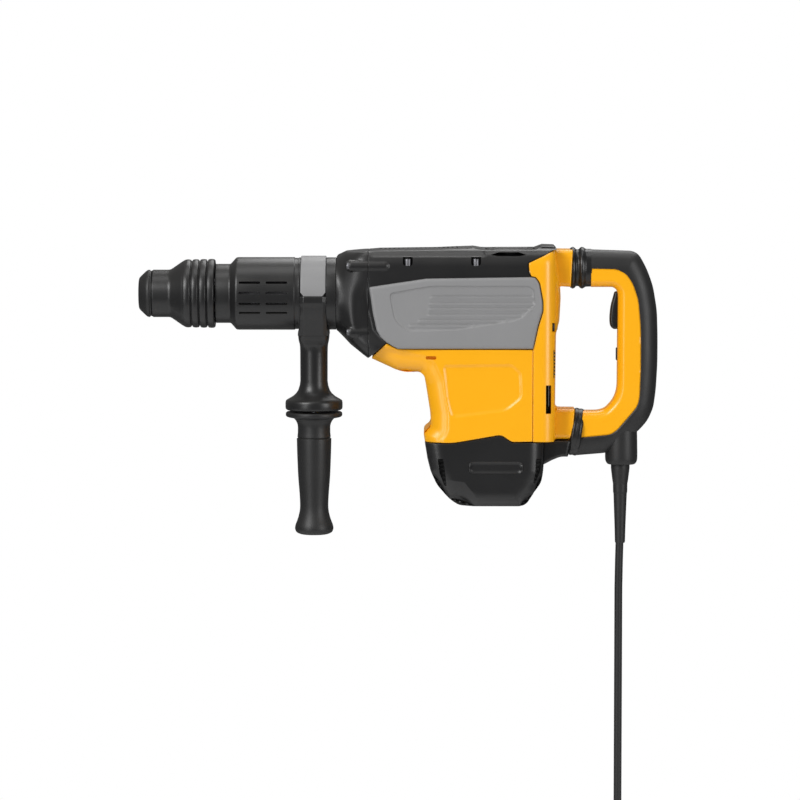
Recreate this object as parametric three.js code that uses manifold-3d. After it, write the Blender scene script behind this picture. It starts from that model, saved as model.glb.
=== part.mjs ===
// A heavy rotary and chipping hammer with an upright motor, a D-handle and a clamped side handle.
// Millimetres, +Z up. The origin is on the hammer's impact axis, in the middle plane of the
// side-handle clamp. The nose points to -X, the D-handle to +X, and the body is symmetric about Y = 0.
import * as THREE from 'three';
import { mergeVertices } from 'three/addons/utils/BufferGeometryUtils.js';
import Module from 'manifold-3d';

const wasm = await Module();
wasm.setup();

// ---- Driving dimensions -------------------------------------------------------------------------

const GAP = 0.3;      // between the faces of pieces that touch
const RUNNING = 0.3;  // around pieces that turn or slide
const WALL = 4;       // moulded housings
const ROUND = 20;     // sides of a large turned piece
const SMALL = 12;     // sides of a small turned piece

const shank = { radius: 9.2, depth: 82 };
const holder = { front: -190, radius: 16, flangeFront: -104, flangeRadius: 23, rear: -72 };
const cap = { front: -195.4, faceRadius: 17.5, radius: 26.5, rear: -180.8, bevel: 9.5 };
const sleeve = {
  radius: 26.5, flaredRadius: 38, coneFront: -158.9, coneRear: -144.8, rear: -110.2, travel: 12,
};
const lockBar = { front: -152, length: 10, width: 6, inner: 7.8, outer: 20.2 };

const barrel = { radius: 40.6, seatDepth: 2.1, neckRadius: 33, neckFront: -109.8, front: -92.5, wall: 3 };
const seatRadius = barrel.radius - barrel.seatDepth;
const clamp = { width: 28, thickness: 3, blockWidth: 32, blockWall: 2.9, blockFloor: 5.4 };
const blockRadius = barrel.radius + clamp.blockWall;
const blockBottom = -barrel.radius - clamp.blockFloor;
const stem = { topWidth: 36, neckRadius: 15.3, flangeRadius: 32, flangeTop: -119.9, flangeBottom: -130.3 };
const grip = { top: -132.8, bottom: -270.4, radius: 18.6, waist: 15.7, knob: 21.7, flangeRadius: 31.7 };

const gear = { front: 25.6, seam: 61.3, top: 50, bottom: -58.3, halfWidth: 49 };
const panel = { thickness: 6, edge: 2.5, groove: 1.1 };
const motor = { axis: 187, front: 130.6, rear: 243.8, bottom: -162.5, halfWidth: 52, edge: 6 };
const base = { level: -235.7, halfWidth: 50 };
const rearWall = { x: 270, halfWidth: 23 };
const dial = { x: 219.3, radius: 27.4, floor: 44.4, top: 52.1 };

const cylinder = { radius: 19, front: -71.7, rear: 72, wall: 5 };
const crank = { axis: 140, radius: 16, rodLevel: 5 };
const train = { level: -28, thickness: 10, lowerLevel: -50.5, lowerThickness: 8 };
const teeth = { motorPinion: 8, crankGear: 36, crankPinion: 14, clutchGear: 28 };
const bevel = { axis: 90, pinionRadius: 12, ringRadius: 34, pinionTeeth: 10, ringTeeth: 28 };
const windings = { coreRadius: 26, top: -88, bottom: -138, statorRadius: 43 };

const handle = {
  front: 309.3, innerRear: 339, rear: 384.3, top: 49.6, halfWidth: 19, overmouldHalfWidth: 20,
};
const pivot = { x: 280, z: -145, radius: 4.5 };
const lead = { diameter: 9, exitX: 341.7, exitZ: -280, floor: -660 };
const coil = { innerTurn: 40.5, turnsAcross: 2, turnsHigh: 4, y: 40 };

// ---- Colours and surfaces -----------------------------------------------------------------------

const finish = {
  yellow: { color: 0xfdb515, roughness: 0.42, metalness: 0 },
  black: { color: 0x1c1c1e, roughness: 0.55, metalness: 0 },
  rubber: { color: 0x161617, roughness: 0.8, metalness: 0 },
  grey: { color: 0x8d8f92, roughness: 0.5, metalness: 0 },
  steel: { color: 0x9a9da1, roughness: 0.3, metalness: 1 },
  darkSteel: { color: 0x55585c, roughness: 0.4, metalness: 1 },
  copper: { color: 0xb5693a, roughness: 0.4, metalness: 1 },
  circuit: { color: 0x2c5a3c, roughness: 0.6, metalness: 0 },
};

// ---- Solids from three.js geometry --------------------------------------------------------------

// A closed geometry as a solid: shared vertices merged, empty triangles left out, faces outwards.
function solid(geometry) {
  const bare = geometry.clone();
  bare.deleteAttribute('normal');
  bare.deleteAttribute('uv');
  const merged = mergeVertices(bare, 1e-4);
  const points = merged.attributes.position.array;
  const corners = [];
  let volume = 0;
  for (let i = 0; i < merged.index.count; i += 3) {
    const [a, b, c] = merged.index.array.slice(i, i + 3);
    if (a === b || b === c || c === a) continue;
    corners.push(a, b, c);
    const [pa, pb, pc] = [a, b, c].map(v => new THREE.Vector3().fromArray(points, v * 3));
    volume += pa.dot(pb.cross(pc));
  }
  if (volume < 0) corners.reverse();
  return new wasm.Manifold(new wasm.Mesh({
    numProp: 3,
    vertProperties: new Float32Array(points),
    triVerts: new Uint32Array(corners),
  }));
}

// A profile of [place along the axis, radius] turned about an axis through the given point.
function turned(profile, axis = 'x', at = [0, 0, 0], sides = ROUND) {
  const geometry = new THREE.LatheGeometry(profile.map(([along, r]) => new THREE.Vector2(r, along)), sides);
  if (axis === 'x') geometry.rotateZ(-Math.PI / 2);
  if (axis === 'z') geometry.rotateX(Math.PI / 2);
  return solid(geometry.translate(...at));
}

// A ring or tube: a closed rectangular profile.
function ring(from, to, inner, outer, axis = 'x', at = [0, 0, 0], sides = ROUND) {
  return turned([[from, inner], [from, outer], [to, outer], [to, inner], [from, inner]], axis, at, sides);
}

// The corner radius of a bore whose flat sides clear a turned piece of the given radius at every angle.
const clearOf = (radius, sides = ROUND) => (radius + RUNNING) / Math.cos(Math.PI / sides);

function rod(from, to, radius, axis = 'x', at = [0, 0, 0], sides = SMALL) {
  return turned([[from, 0], [from, radius], [to, radius], [to, 0]], axis, at, sides);
}

function block([x0, x1], [y0, y1], [z0, z1]) {
  const box = new THREE.BoxGeometry(x1 - x0, y1 - y0, z1 - z0);
  return solid(box.translate((x0 + x1) / 2, (y0 + y1) / 2, (z0 + z1) / 2));
}

// Corners are [a, b, reach]: a corner with a reach is rounded over that length of its two edges.
function rounded(corners, steps = 2) {
  const points = corners.map(([a, b]) => new THREE.Vector2(a, b));
  return corners.flatMap(([, , reach], i) => {
    const corner = points[i];
    if (!reach) return [corner];
    const towards = other => other.clone().sub(corner).setLength(reach).add(corner);
    const start = towards(points.at(i - 1));
    const end = towards(points[(i + 1) % points.length]);
    return new THREE.QuadraticBezierCurve(start, corner, end).getPoints(steps);
  });
}

// The same outline with every edge moved inwards by a distance (outwards when it is negative).
function inset(corners, distance) {
  const points = corners.map(([a, b]) => new THREE.Vector2(a, b));
  const side = Math.sign(THREE.ShapeUtils.area(points));
  const normal = (from, to) => {
    const run = to.clone().sub(from).normalize();
    return new THREE.Vector2(-run.y * side, run.x * side);
  };
  return corners.map(([, , reach = 0], i) => {
    const n1 = normal(points.at(i - 1), points[i]);
    const n2 = normal(points[i], points[(i + 1) % points.length]);
    const shift = n1.add(n2).multiplyScalar(distance / (1 + n1.dot(n2)));
    const moved = points[i].clone().add(shift);
    return [moved.x, moved.y, reach];
  });
}

// An outline in the XZ plane, extruded along Y; 'edge' rounds the long edges of both faces.
function plate(corners, y0, y1, edge = 0) {
  const geometry = new THREE.ExtrudeGeometry(new THREE.Shape(rounded(corners)), {
    depth: y1 - y0 - 2 * edge,
    bevelEnabled: edge > 0,
    bevelThickness: edge,
    bevelSize: edge,
    bevelOffset: -edge,
    bevelSegments: edge > 3 ? 2 : 1,
  });
  return solid(geometry.rotateX(Math.PI / 2).translate(0, y1 - edge, 0));
}

// An outline in the XY plane, extruded along Z.
function slab(corners, z0, z1) {
  const geometry = new THREE.ExtrudeGeometry(new THREE.Shape(rounded(corners)), {
    depth: z1 - z0,
    bevelEnabled: false,
  });
  return solid(geometry.translate(0, 0, z0));
}

// An outline in the YZ plane, extruded along X.
function bar(corners, x0, x1) {
  const geometry = new THREE.ExtrudeGeometry(new THREE.Shape(rounded(corners)), {
    depth: x1 - x0,
    bevelEnabled: false,
  });
  return solid(geometry.rotateX(Math.PI / 2).rotateZ(Math.PI / 2).translate(x0, 0, 0));
}

const rectangle = (a0, a1, b0, b1, reach) =>
  [[a0, b0, reach], [a1, b0, reach], [a1, b1, reach], [a0, b1, reach]];
const cut = (body, ...tools) => tools.reduce((rest, tool) => rest.subtract(tool), body);
const join = (body, ...others) => others.reduce((sum, other) => sum.add(other), body);

// ---- The group of named pieces ------------------------------------------------------------------

const hammer = new THREE.Group();

function piece(name, body, look) {
  const mesh = body.getMesh();
  const geometry = new THREE.BufferGeometry();
  geometry.setAttribute('position', new THREE.BufferAttribute(mesh.vertProperties, 3));
  geometry.setIndex(new THREE.BufferAttribute(mesh.triVerts, 1));
  geometry.computeVertexNormals();
  const part = new THREE.Mesh(geometry, new THREE.MeshStandardMaterial(finish[look]));
  part.name = name;
  hammer.add(part);
  return body;
}

// ---- Tool holder: a quick-release holder for slotted 18 mm shanks -------------------------------

const boltRadius = 14;
const boltSeat = holder.front + shank.depth - 4;  // front of the impact bolt's chamber
const slotClearance = 0.3;
const lockSlot = (side) => block(
  [lockBar.front - slotClearance, lockBar.front + lockBar.length + slotClearance],
  [-lockBar.width / 2 - slotClearance, lockBar.width / 2 + slotClearance],
  side > 0 ? [0, holder.radius + 4] : [-holder.radius - 4, 0]);

piece('tool_holder', cut(
  turned([
    [holder.front, shank.radius], [holder.front, holder.radius], [holder.flangeFront, holder.radius],
    [holder.flangeFront, holder.flangeRadius], [holder.rear, holder.flangeRadius],
    [holder.rear, boltRadius + RUNNING], [boltSeat, boltRadius + RUNNING], [boltSeat, shank.radius],
    [holder.front, shank.radius],
  ]),
  lockSlot(1), lockSlot(-1)), 'steel');

for (const [name, side] of [['locking_bar_upper', 1], ['locking_bar_lower', -1]]) {
  const reach = [lockBar.inner, lockBar.outer].map(r => r * side).sort((a, b) => a - b);
  piece(name, plate(rectangle(lockBar.front, lockBar.front + lockBar.length, ...reach, 2),
    -lockBar.width / 2, lockBar.width / 2), 'darkSteel');
}

piece('dust_cap', turned([
  [cap.front, shank.radius + 0.8], [cap.front, cap.faceRadius], [cap.front + cap.bevel, cap.radius - 0.4],
  [cap.rear - 2.6, cap.radius], [cap.rear - 2.6, cap.radius - 1.4], [cap.rear, cap.radius - 1.4],
  [cap.rear, holder.radius + GAP], [holder.front - GAP, holder.radius + GAP],
  [holder.front - GAP, shank.radius + 0.8], [cap.front, shank.radius + 0.8],
]), 'rubber');

const sleeveFront = cap.rear + GAP;
// The locking bars stand in this chamber at both ends of the sleeve's travel.
const chamberFront = lockBar.front - sleeve.travel - 2;
const chamberRear = lockBar.front + lockBar.length + 8;
const skirtFront = chamberRear + 4;
const skirtRadius = barrel.neckRadius + 0.6;
const boreRadius = holder.radius + RUNNING;
const sleeveGrooves = [0, 1, 2].map(i => sleeve.coneRear + 8.7 + i * 9.1);
piece('locking_sleeve', turned([
  [sleeveFront, boreRadius], [sleeveFront, sleeve.radius - 1], [sleeveFront + 1, sleeve.radius],
  [sleeve.coneFront, sleeve.radius], [sleeve.coneRear, sleeve.flaredRadius - 0.6],
  ...sleeveGrooves.flatMap(x => [
    [x - 1.3, sleeve.flaredRadius], [x, sleeve.flaredRadius - 1.2], [x + 1.3, sleeve.flaredRadius]]),
  [sleeve.rear - 1.5, sleeve.flaredRadius + 0.4], [sleeve.rear, sleeve.flaredRadius - 0.6],
  [sleeve.rear, skirtRadius], [skirtFront, skirtRadius], [skirtFront, boreRadius],
  [chamberRear, boreRadius], [chamberRear, lockBar.outer + 0.8], [chamberFront, lockBar.outer + 0.8],
  [chamberFront, boreRadius], [sleeveFront, boreRadius],
]), 'black');

// A coil spring along X: a round wire on a helix.
function spring(from, to, radius, wire, turns, at = [0, 0, 0]) {
  const helix = new THREE.CatmullRomCurve3(Array.from({ length: turns * 6 + 1 }, (_, i) => {
    const angle = (i / 6) * 2 * Math.PI;
    const along = from + wire + (to - from - 2 * wire) * i / (turns * 6);
    return new THREE.Vector3(
      at[0] + along, at[1] + radius * Math.cos(angle), at[2] + radius * Math.sin(angle));
  }));
  const section = new THREE.Shape(Array.from({ length: 5 }, (_, i) =>
    new THREE.Vector2(wire * Math.cos(i * Math.PI / 2.5), wire * Math.sin(i * Math.PI / 2.5))));
  return solid(new THREE.ExtrudeGeometry(section, { steps: turns * 6, extrudePath: helix }));
}

piece('chuck_spring', spring(skirtFront + GAP, holder.flangeFront - GAP, 19.5, 0.9, 5), 'steel');

// ---- Hammer works: bolt, striker, piston and the turning spindle --------------------------------

const boltFront = boltSeat + 7.7;
piece('impact_bolt', turned([
  [boltSeat - 12, 0], [boltSeat - 12, shank.radius - RUNNING], [boltFront, shank.radius - RUNNING],
  [boltFront, boltRadius], [holder.rear - 5, boltRadius], [holder.rear - 4, shank.radius],
  [holder.rear + 5, shank.radius], [holder.rear + 5, 0],
]), 'steel');

const spindleRadius = cylinder.radius + RUNNING + cylinder.wall;
piece('spindle_tube', ring(cylinder.front, cylinder.rear, cylinder.radius + RUNNING, spindleRadius), 'steel');

const strikerFront = holder.rear + 5.6;
piece('striker', turned([
  [strikerFront, 0], [strikerFront, 12], [strikerFront + 4, cylinder.radius],
  [strikerFront + 14, cylinder.radius], [strikerFront + 14.5, cylinder.radius - 1.5],
  [strikerFront + 17.5, cylinder.radius - 1.5], [strikerFront + 18, cylinder.radius],
  [strikerFront + 30, cylinder.radius], [strikerFront + 30, 0],
]), 'steel');

const wristPin = { x: 46, radius: 4.5 };
const pistonFront = wristPin.x - 32;
piece('piston', cut(
  turned([
    [pistonFront, 0], [pistonFront, cylinder.radius], [wristPin.x + 12, cylinder.radius],
    [wristPin.x + 12, cylinder.radius - 3.5], [pistonFront + 8, cylinder.radius - 3.5], [pistonFront + 8, 0],
  ], 'x', [0, 0, 0], ROUND),
  rod(-30, 30, wristPin.radius + GAP, 'z', [wristPin.x, 0, 0])), 'steel');
piece('wrist_pin', rod(1 - cylinder.radius, cylinder.radius - 1, wristPin.radius, 'z', [wristPin.x, 0, 0]),
  'darkSteel');

const crankPinX = crank.axis + crank.radius;
const rodEye = wristPin.radius + RUNNING;
piece('connecting_rod', cut(
  join(
    slab(rectangle(wristPin.x, crankPinX, -4.5, 4.5), -crank.rodLevel, crank.rodLevel),
    rod(-crank.rodLevel, crank.rodLevel, 8.6, 'z', [wristPin.x, 0, 0]),
    rod(-crank.rodLevel, crank.rodLevel, 9.5, 'z', [crankPinX, 0, 0])),
  rod(-20, 20, rodEye, 'z', [wristPin.x, 0, 0]),
  rod(-20, 20, 5.4, 'z', [crankPinX, 0, 0])), 'steel');

// ---- Gear train ---------------------------------------------------------------------------------

// A spur gear about Z. The tooth centred on 'phase' and its neighbours are narrower than the spaces.
function spurGear(count, module, phase, bore, from, thickness, x) {
  const pitch = count * module / 2;
  const step = 2 * Math.PI / count;
  const outline = Array.from({ length: count }, (_, i) => phase + i * step).flatMap(angle => [
    [pitch - 1.15 * module, -0.25], [pitch + 0.75 * module, -0.11],
    [pitch + 0.75 * module, 0.11], [pitch - 1.15 * module, 0.25],
  ].map(([r, share]) => new THREE.Vector2(
    r * Math.cos(angle + share * step), r * Math.sin(angle + share * step))));
  const shape = new THREE.Shape(outline);
  const gearSolid = solid(new THREE.ExtrudeGeometry(shape, { depth: thickness, bevelEnabled: false })
    .translate(x, 0, from));
  return bore ? gearSolid.subtract(rod(from - 1, from + thickness + 1, bore, 'z', [x, 0, 0])) : gearSolid;
}

const moduleOf = (distance, a, b) => 2 * distance / (a + b);
const motorModule = moduleOf(motor.axis - crank.axis, teeth.motorPinion, teeth.crankGear);
const clutchModule = moduleOf(crank.axis - bevel.axis, teeth.crankPinion, teeth.clutchGear);
const crankShaftRadius = 8;

// One forging: the shaft with its eccentric pin, the large driven gear and the small driving gear.
piece('crank_gear', join(
  turned([
    [train.lowerLevel, 0], [train.lowerLevel, crankShaftRadius], [-18, crankShaftRadius], [-18, 24],
    [-10, 24], [-10, 0],
  ], 'z', [crank.axis, 0, 0]),
  rod(-11, -crank.rodLevel - 0.4, 5, 'z', [crankPinX, 0, 0]),
  spurGear(teeth.crankPinion, clutchModule, Math.PI, 0, train.lowerLevel, train.lowerThickness, crank.axis),
  spurGear(teeth.crankGear, motorModule, Math.PI / teeth.crankGear, 0, train.level, train.thickness,
    crank.axis)), 'steel');
piece('clutch_gear', spurGear(teeth.clutchGear, clutchModule, Math.PI / teeth.clutchGear, 6 + GAP,
  train.lowerLevel, train.lowerThickness, bevel.axis), 'darkSteel');

// Straight bevel teeth: wedges around a cone, cut away between the teeth.
function toothNotches(body, count, phase, makeNotch) {
  const notches = Array.from({ length: count }, (_, i) => makeNotch(phase + i * 2 * Math.PI / count));
  return cut(body, ...notches);
}

const pinionTop = -bevel.ringRadius + 5.5;
const pinionBottom = -bevel.ringRadius - 5.5;
piece('bevel_pinion', toothNotches(
  turned([
    [train.lowerLevel, 0], [train.lowerLevel, 6], [pinionBottom, 6], [pinionBottom, bevel.pinionRadius + 1.6],
    [pinionTop, bevel.pinionRadius - 2.3], [pinionTop, 0],
  ], 'z', [bevel.axis, 0, 0]),
  bevel.pinionTeeth, 0, angle => {
    const notch = new THREE.BoxGeometry(8, 2.4, 16);
    notch.translate(bevel.pinionRadius + 2.8, 0, -bevel.ringRadius).rotateZ(angle);
    return solid(notch.translate(bevel.axis, 0, 0));
  }), 'steel');

const ringFace = bevel.axis - bevel.pinionRadius;
piece('spindle_gear', toothNotches(
  turned([
    [ringFace - 12, spindleRadius + GAP], [ringFace - 12, bevel.ringRadius + 2],
    [ringFace - 3.6, bevel.ringRadius + 5], [ringFace - 1.6, bevel.ringRadius - 4.6],
    [ringFace - 1.6, spindleRadius + GAP], [ringFace - 12, spindleRadius + GAP],
  ]),
  bevel.ringTeeth, Math.PI / bevel.ringTeeth, angle => {
    const notch = new THREE.BoxGeometry(6, 2.6, 16);
    return solid(notch.translate(ringFace, 0, bevel.ringRadius + 2).rotateX(angle));
  }), 'darkSteel');

// ---- Bearings -----------------------------------------------------------------------------------

const barrelBore = seatRadius - barrel.wall;
const neckBore = barrel.neckRadius - WALL;
piece('front_bearing', ring(holder.flangeFront, holder.flangeFront + 10, clearOf(holder.flangeRadius),
  neckBore - GAP), 'steel');
piece('spindle_bearing', ring(2, 14, clearOf(spindleRadius), barrelBore - GAP), 'steel');

// ---- Barrel cover with its vents ----------------------------------------------------------------

const seatHalf = clamp.width / 2 + GAP + 0.2;
const barrelBody = turned([
  [barrel.neckFront, neckBore], [barrel.neckFront, barrel.neckRadius - 0.8],
  [barrel.neckFront + 0.8, barrel.neckRadius], [barrel.front, barrel.neckRadius],
  [barrel.front + 7, barrel.radius], [-seatHalf - 6, barrel.radius], [-seatHalf - 5, barrel.radius - 0.6],
  [-seatHalf, barrel.radius - 0.6], [-seatHalf, seatRadius], [seatHalf, seatRadius],
  [seatHalf, barrel.radius], [gear.front - GAP, barrel.radius], [gear.front - GAP, barrelBore],
  [barrel.front + 5, barrelBore], [barrel.front + 5, neckBore], [barrel.neckFront, neckBore],
]);
const slotRows = [-24, -8, 8, 24, 156, 172, 188, 204];  // degrees around the barrel from +Y
const slotColumns = [[-82, -60], [-51, -29]];
const barrelSlots = slotColumns.flatMap(span => slotRows.map(degrees => {
  const slot = new THREE.BoxGeometry(span[1] - span[0], 14, 2.2);
  slot.translate((span[0] + span[1]) / 2, barrel.radius, 0);
  return solid(slot.rotateX(THREE.MathUtils.degToRad(degrees)));
}));
piece('barrel_cover', cut(barrelBody, ...barrelSlots), 'black');

// ---- Side handle --------------------------------------------------------------------------------

const strapInner = clearOf(seatRadius);
const strapEnd = -0.8;
const strapHalf = clamp.width / 2;
const above = block([-60, 60], [-80, 80], [strapEnd + GAP, 80]);
piece('collar_strap', turned([
  [-strapHalf, strapInner], [-strapHalf, strapInner + clamp.thickness - 1],
  [1 - strapHalf, strapInner + clamp.thickness], [strapHalf - 1, strapInner + clamp.thickness],
  [strapHalf, strapInner + clamp.thickness - 1], [strapHalf, strapInner], [-strapHalf, strapInner],
]).intersect(above), 'grey');

const blockHalf = clamp.blockWidth / 2;
const boltHole = 5.3;
const cradle = plate(rectangle(-blockHalf, blockHalf, blockBottom, strapEnd, 0), -blockRadius, blockRadius)
  .intersect(rod(-blockHalf, blockHalf, blockRadius + 3, 'x', [0, 0, 0], ROUND));
piece('clamp_cradle', cut(cradle,
  rod(-seatHalf - GAP, seatHalf + GAP, strapInner, 'x', [0, 0, 0], ROUND),
  rod(-60, 60, clearOf(barrel.radius), 'x', [0, 0, 0], ROUND),
  rod(-80, 0, boltHole, 'z')), 'black');

const stemTop = blockBottom - GAP;
piece('side_handle_stem', join(
  turned([
    [stemTop - 6, boltHole], [stemTop - 6, 17.2], [stemTop - 12.7, 15.8], [stemTop - 28.7, stem.neckRadius],
    [-99, stem.neckRadius],
    [-109, 18], [stem.flangeTop + 1.5, stem.flangeRadius - 2], [stem.flangeTop, stem.flangeRadius],
    [stem.flangeBottom, stem.flangeRadius], [stem.flangeBottom, boltHole], [stemTop - 6, boltHole],
  ].reverse(), 'z', [0, 0, 0], 24),
  slab(rectangle(-stem.topWidth / 2, stem.topWidth / 2, -22, 22, 5), stemTop - 6, stemTop)
    .subtract(rod(-80, 0, boltHole, 'z'))), 'black');

piece('side_grip', turned([
  [grip.top, boltHole], [grip.top, grip.flangeRadius], [grip.top - 5, grip.flangeRadius],
  [grip.top - 7.2, 22], [-146.4, 18.1], [-161.3, grip.radius], [-162.3, grip.radius + 0.7],
  [-200, grip.radius - 0.6], [-231, grip.waist + 0.2], [-241, grip.waist], [-252, 18], [-263.3, grip.knob],
  [grip.bottom + 2.5, grip.knob - 1], [grip.bottom, grip.knob - 5], [grip.bottom, 0], [-170, 0],
  [-170, boltHole], [grip.top, boltHole],
], 'z', [0, 0, 0], 24), 'rubber');

piece('clamp_bolt', turned([
  [-169, 0], [-169, 4.9], [blockBottom + 2, 4.9], [blockBottom + 2, 0],
], 'z', [0, 0, 0], 12), 'steel');

// ---- Gear housing and nose cover ----------------------------------------------------------------

const noseTop = Math.max(gear.top, barrel.radius + 5.1);
const noseOutline = [
  [gear.front, -barrel.radius - 0.2], [gear.front + 1.8, -barrel.radius - 1.4],
  [gear.front + 15.5, gear.bottom + 3.2],
  [gear.seam - GAP / 2, gear.bottom - 11.3], [gear.seam - GAP / 2, gear.top - 1.7],
  [gear.front + 10.2, noseTop - 2.3, 4], [gear.front + 1.8, noseTop - 6.5],
  [gear.front, noseTop - 8.6],
];
// The rear edge is shared with the side panels and the yellow rear shells.
const rearEdge = [
  [241.6, 21.2], [246.7, 20.3, 3], [250.6, 14.3], [254.6, -6], [254.6, -17], [249.3, -33.7],
  [motor.rear + 0.4, gear.bottom],
];
const chin = [[94.3, gear.bottom], [82.2, gear.bottom + 6.7], [65, gear.bottom - 13]];
const gearOutline = [
  [gear.seam + GAP / 2, gear.top - 1.6], [136.6, gear.top + 0.3], [164.4, gear.top + 1.6],
  [178.1, gear.top + 2.4], [188.5, gear.top], [248, gear.top + 0.2], [255.4, gear.top + 4.3],
  [269, gear.top + 3.8], [rearWall.x + 0.7, gear.top + 1.2], [266.3, gear.top + 0.4], [239, gear.top - 12.8],
  [238.2, gear.top - 16], ...rearEdge, ...chin, [gear.seam + GAP / 2, gear.bottom - 11.4],
];
const gearSection = rectangle(-gear.halfWidth, gear.halfWidth, -90, gear.top + 5, 16);
const gearBlank = plate(gearOutline, -gear.halfWidth, gear.halfWidth, 1).intersect(bar(gearSection, 20, 290));
const gearClearance = plate(inset(gearOutline, -GAP), -80, 80);

// Moulded bosses for the long screws that hold the nose cover, two on each side.
const bossPlaces = [-1, 1].flatMap(side => [
  { y: side * (gear.halfWidth - 6), z: 31.8, front: 36.7, rear: 85.6 },
  { y: side * (gear.halfWidth - 8), z: -40.5, front: 36.7, rear: 64.5 },
]);
const bosses = bossPlaces.map(({ y, z, front, rear }) => turned([
  [front, 0], [front, 8.5], [rear - 5, 8.5], [rear, 4.5], [rear, 0],
], 'x', [0, y, z], 16));

const nosePlan = [
  [gear.front, -barrel.radius], [gear.front + 14, -gear.halfWidth, 6], [gear.seam, -gear.halfWidth],
  [gear.seam, gear.halfWidth], [gear.front + 14, gear.halfWidth, 6], [gear.front, barrel.radius],
];
const noseBlank = plate(noseOutline, -gear.halfWidth, gear.halfWidth, 3)
  .intersect(slab(nosePlan, -90, 80))
  .intersect(bar(gearSection, 20, 70));
const noseInsideHalf = gear.halfWidth - WALL - 4;
const noseHollow = noseOutline.filter((corner, i) => i !== 1 && i !== noseOutline.length - 2);
const noseInside = join(
  plate(inset(noseHollow, WALL + 2), -noseInsideHalf, noseInsideHalf),
  block([gear.seam - 10, gear.seam + 5], [-noseInsideHalf, noseInsideHalf],
    [gear.bottom + WALL, gear.top - WALL - 6]));
const frontOpening = rod(0, 60, barrelBore, 'x', [0, 0, 0], ROUND);
const bossesWithin = (x0, x1) => bosses.map(boss => boss.intersect(block([x0, x1], [-70, 70], [-70, 70])));
piece('gear_nose_cover', cut(
  join(noseBlank, ...bossesWithin(30, gear.seam - GAP / 2)),
  noseInside, frontOpening), 'black');

const insideHalf = gear.halfWidth - WALL;
const gearInside = join(
  block([gear.seam - 5, gear.seam + 10], [4 - insideHalf, insideHalf - 4],
    [gear.bottom + WALL, gear.top - WALL - 6]),
  block([gear.seam - 5, 236], [-insideHalf, insideHalf], [gear.bottom + WALL, dial.floor - WALL]));
const dialRecess = rod(dial.floor, 80, dial.radius + 0.8, 'z', [dial.x, 0, 0], ROUND);
const thumbSlots = block([dial.x - 20, dial.x + 17], [-80, 80], [dial.floor, dial.floor + 3]);
const screwWindows = [105.3, 180.8].flatMap(x => [-1, 1].map(side => block(
  [x - 5.3, x + 5.3], side > 0 ? [gear.halfWidth - 5, 70] : [-70, 5 - gear.halfWidth], [33.2, 43])));
const topRibs = Array.from({ length: 9 }, (_, i) => 76 + i * 10).map(x =>
  block([x, x + 2.4], [-26, 26], [gear.top - 1.4, gear.top + 6]));
const bearingRadius = 16;
const bearingHole = rod(-80, 0, bearingRadius + GAP, 'z', [motor.axis, 0, 0], ROUND);
piece('gear_housing', cut(
  join(gearBlank, ...bossesWithin(gear.seam + GAP / 2, 120)),
  gearInside, dialRecess, thumbSlots, ...screwWindows, ...topRibs, bearingHole), 'black');

piece('mode_dial', join(
  turned([
    [dial.floor + GAP, 0], [dial.floor + GAP, dial.radius - 4], [dial.floor + 3, dial.radius - 4],
    [dial.floor + 3.2, dial.radius], [dial.top - 2.4, dial.radius], [dial.top - 1.2, dial.radius * 0.6],
    [dial.top - 0.9, 0],
  ], 'z', [dial.x, 0, 0]),
  slab(rectangle(dial.x - 20, dial.x + 20, -5, 5, 3), dial.floor + 3, dial.top)), 'black');

// ---- Grey side panels ---------------------------------------------------------------------------

const panelOutline = [
  [gear.seam + 1.1, 10.1], [66.8, -18.3], [71, -37.5], [82.4, gear.bottom + 6.9], [94.4, gear.bottom + 0.2],
  ...inset(gearOutline, GAP).slice(12, 19).reverse(), [126.7, 20.3],
];
const recessOutline = [
  [86.5, 2.4, 4], [89.5, -26.8, 5], [104.4, -38.4, 5], [157.6, -38], [226, -28.8], [245, -14], [246, -8],
  [244.5, 9, 4], [240, 11.8], [130.1, 11.4],
];
const grooveRows = [-1.9, -8.8, -14.8, -21.7, -28.6];
for (const [name, side] of [['side_panel_left', -1], ['side_panel_right', 1]]) {
  const inner = gear.halfWidth + GAP;
  const outer = inner + panel.thickness;
  const across = (a, b) => (side > 0 ? [a, b] : [-b, -a]);
  const blank = plate(panelOutline, ...across(inner - 3, outer), panel.edge)
    .intersect(block([0, 300], across(inner, outer + 1), [-90, 60]));
  const recess = plate(recessOutline, ...across(outer - panel.groove, outer + 2));
  const grooves = grooveRows.map((z, i) => block(
    [132, i < 4 ? 236 : 210], across(outer - 2 * panel.groove, outer + 2), [z - 0.9, z + 0.9]));
  const hiddenBosses = bosses.map(boss => boss.translate(0, side * GAP, 0));
  piece(name, cut(blank, recess, ...grooves, ...hiddenBosses), 'grey');
}

// ---- Motor housing ------------------------------------------------------------------------------

const motorOutline = [
  ...inset(chin.map(([x, z]) => [x, z]), 0).reverse(), [motor.rear + 0.2, gear.bottom + 2],
  [motor.rear, motor.bottom + 0.1], [220.6, motor.bottom + 0.2], [206.3, motor.bottom + 8],
  [156.4, motor.bottom - 0.7], [124.2, motor.bottom - 0.7], [122.8, motor.bottom + 9],
  [motor.front, -145.6, 3], [motor.front, -132.7], [125.4, -99.9], [123.4, -89, 3], [117.7, -85.3, 3],
  [104.9, -84.9], [96.3, -82.1],
];
const motorInside = motor.halfWidth - WALL - 1;
const motorOpening = block([motor.front + 5, motor.rear - WALL], [-motorInside, motorInside],
  [-200, gear.bottom + 10]);
piece('motor_housing', cut(
  plate(motorOutline, -motor.halfWidth, motor.halfWidth, motor.edge),
  gearClearance, motorOpening), 'yellow');

// ---- End cap ------------------------------------------------------------------------------------

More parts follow.
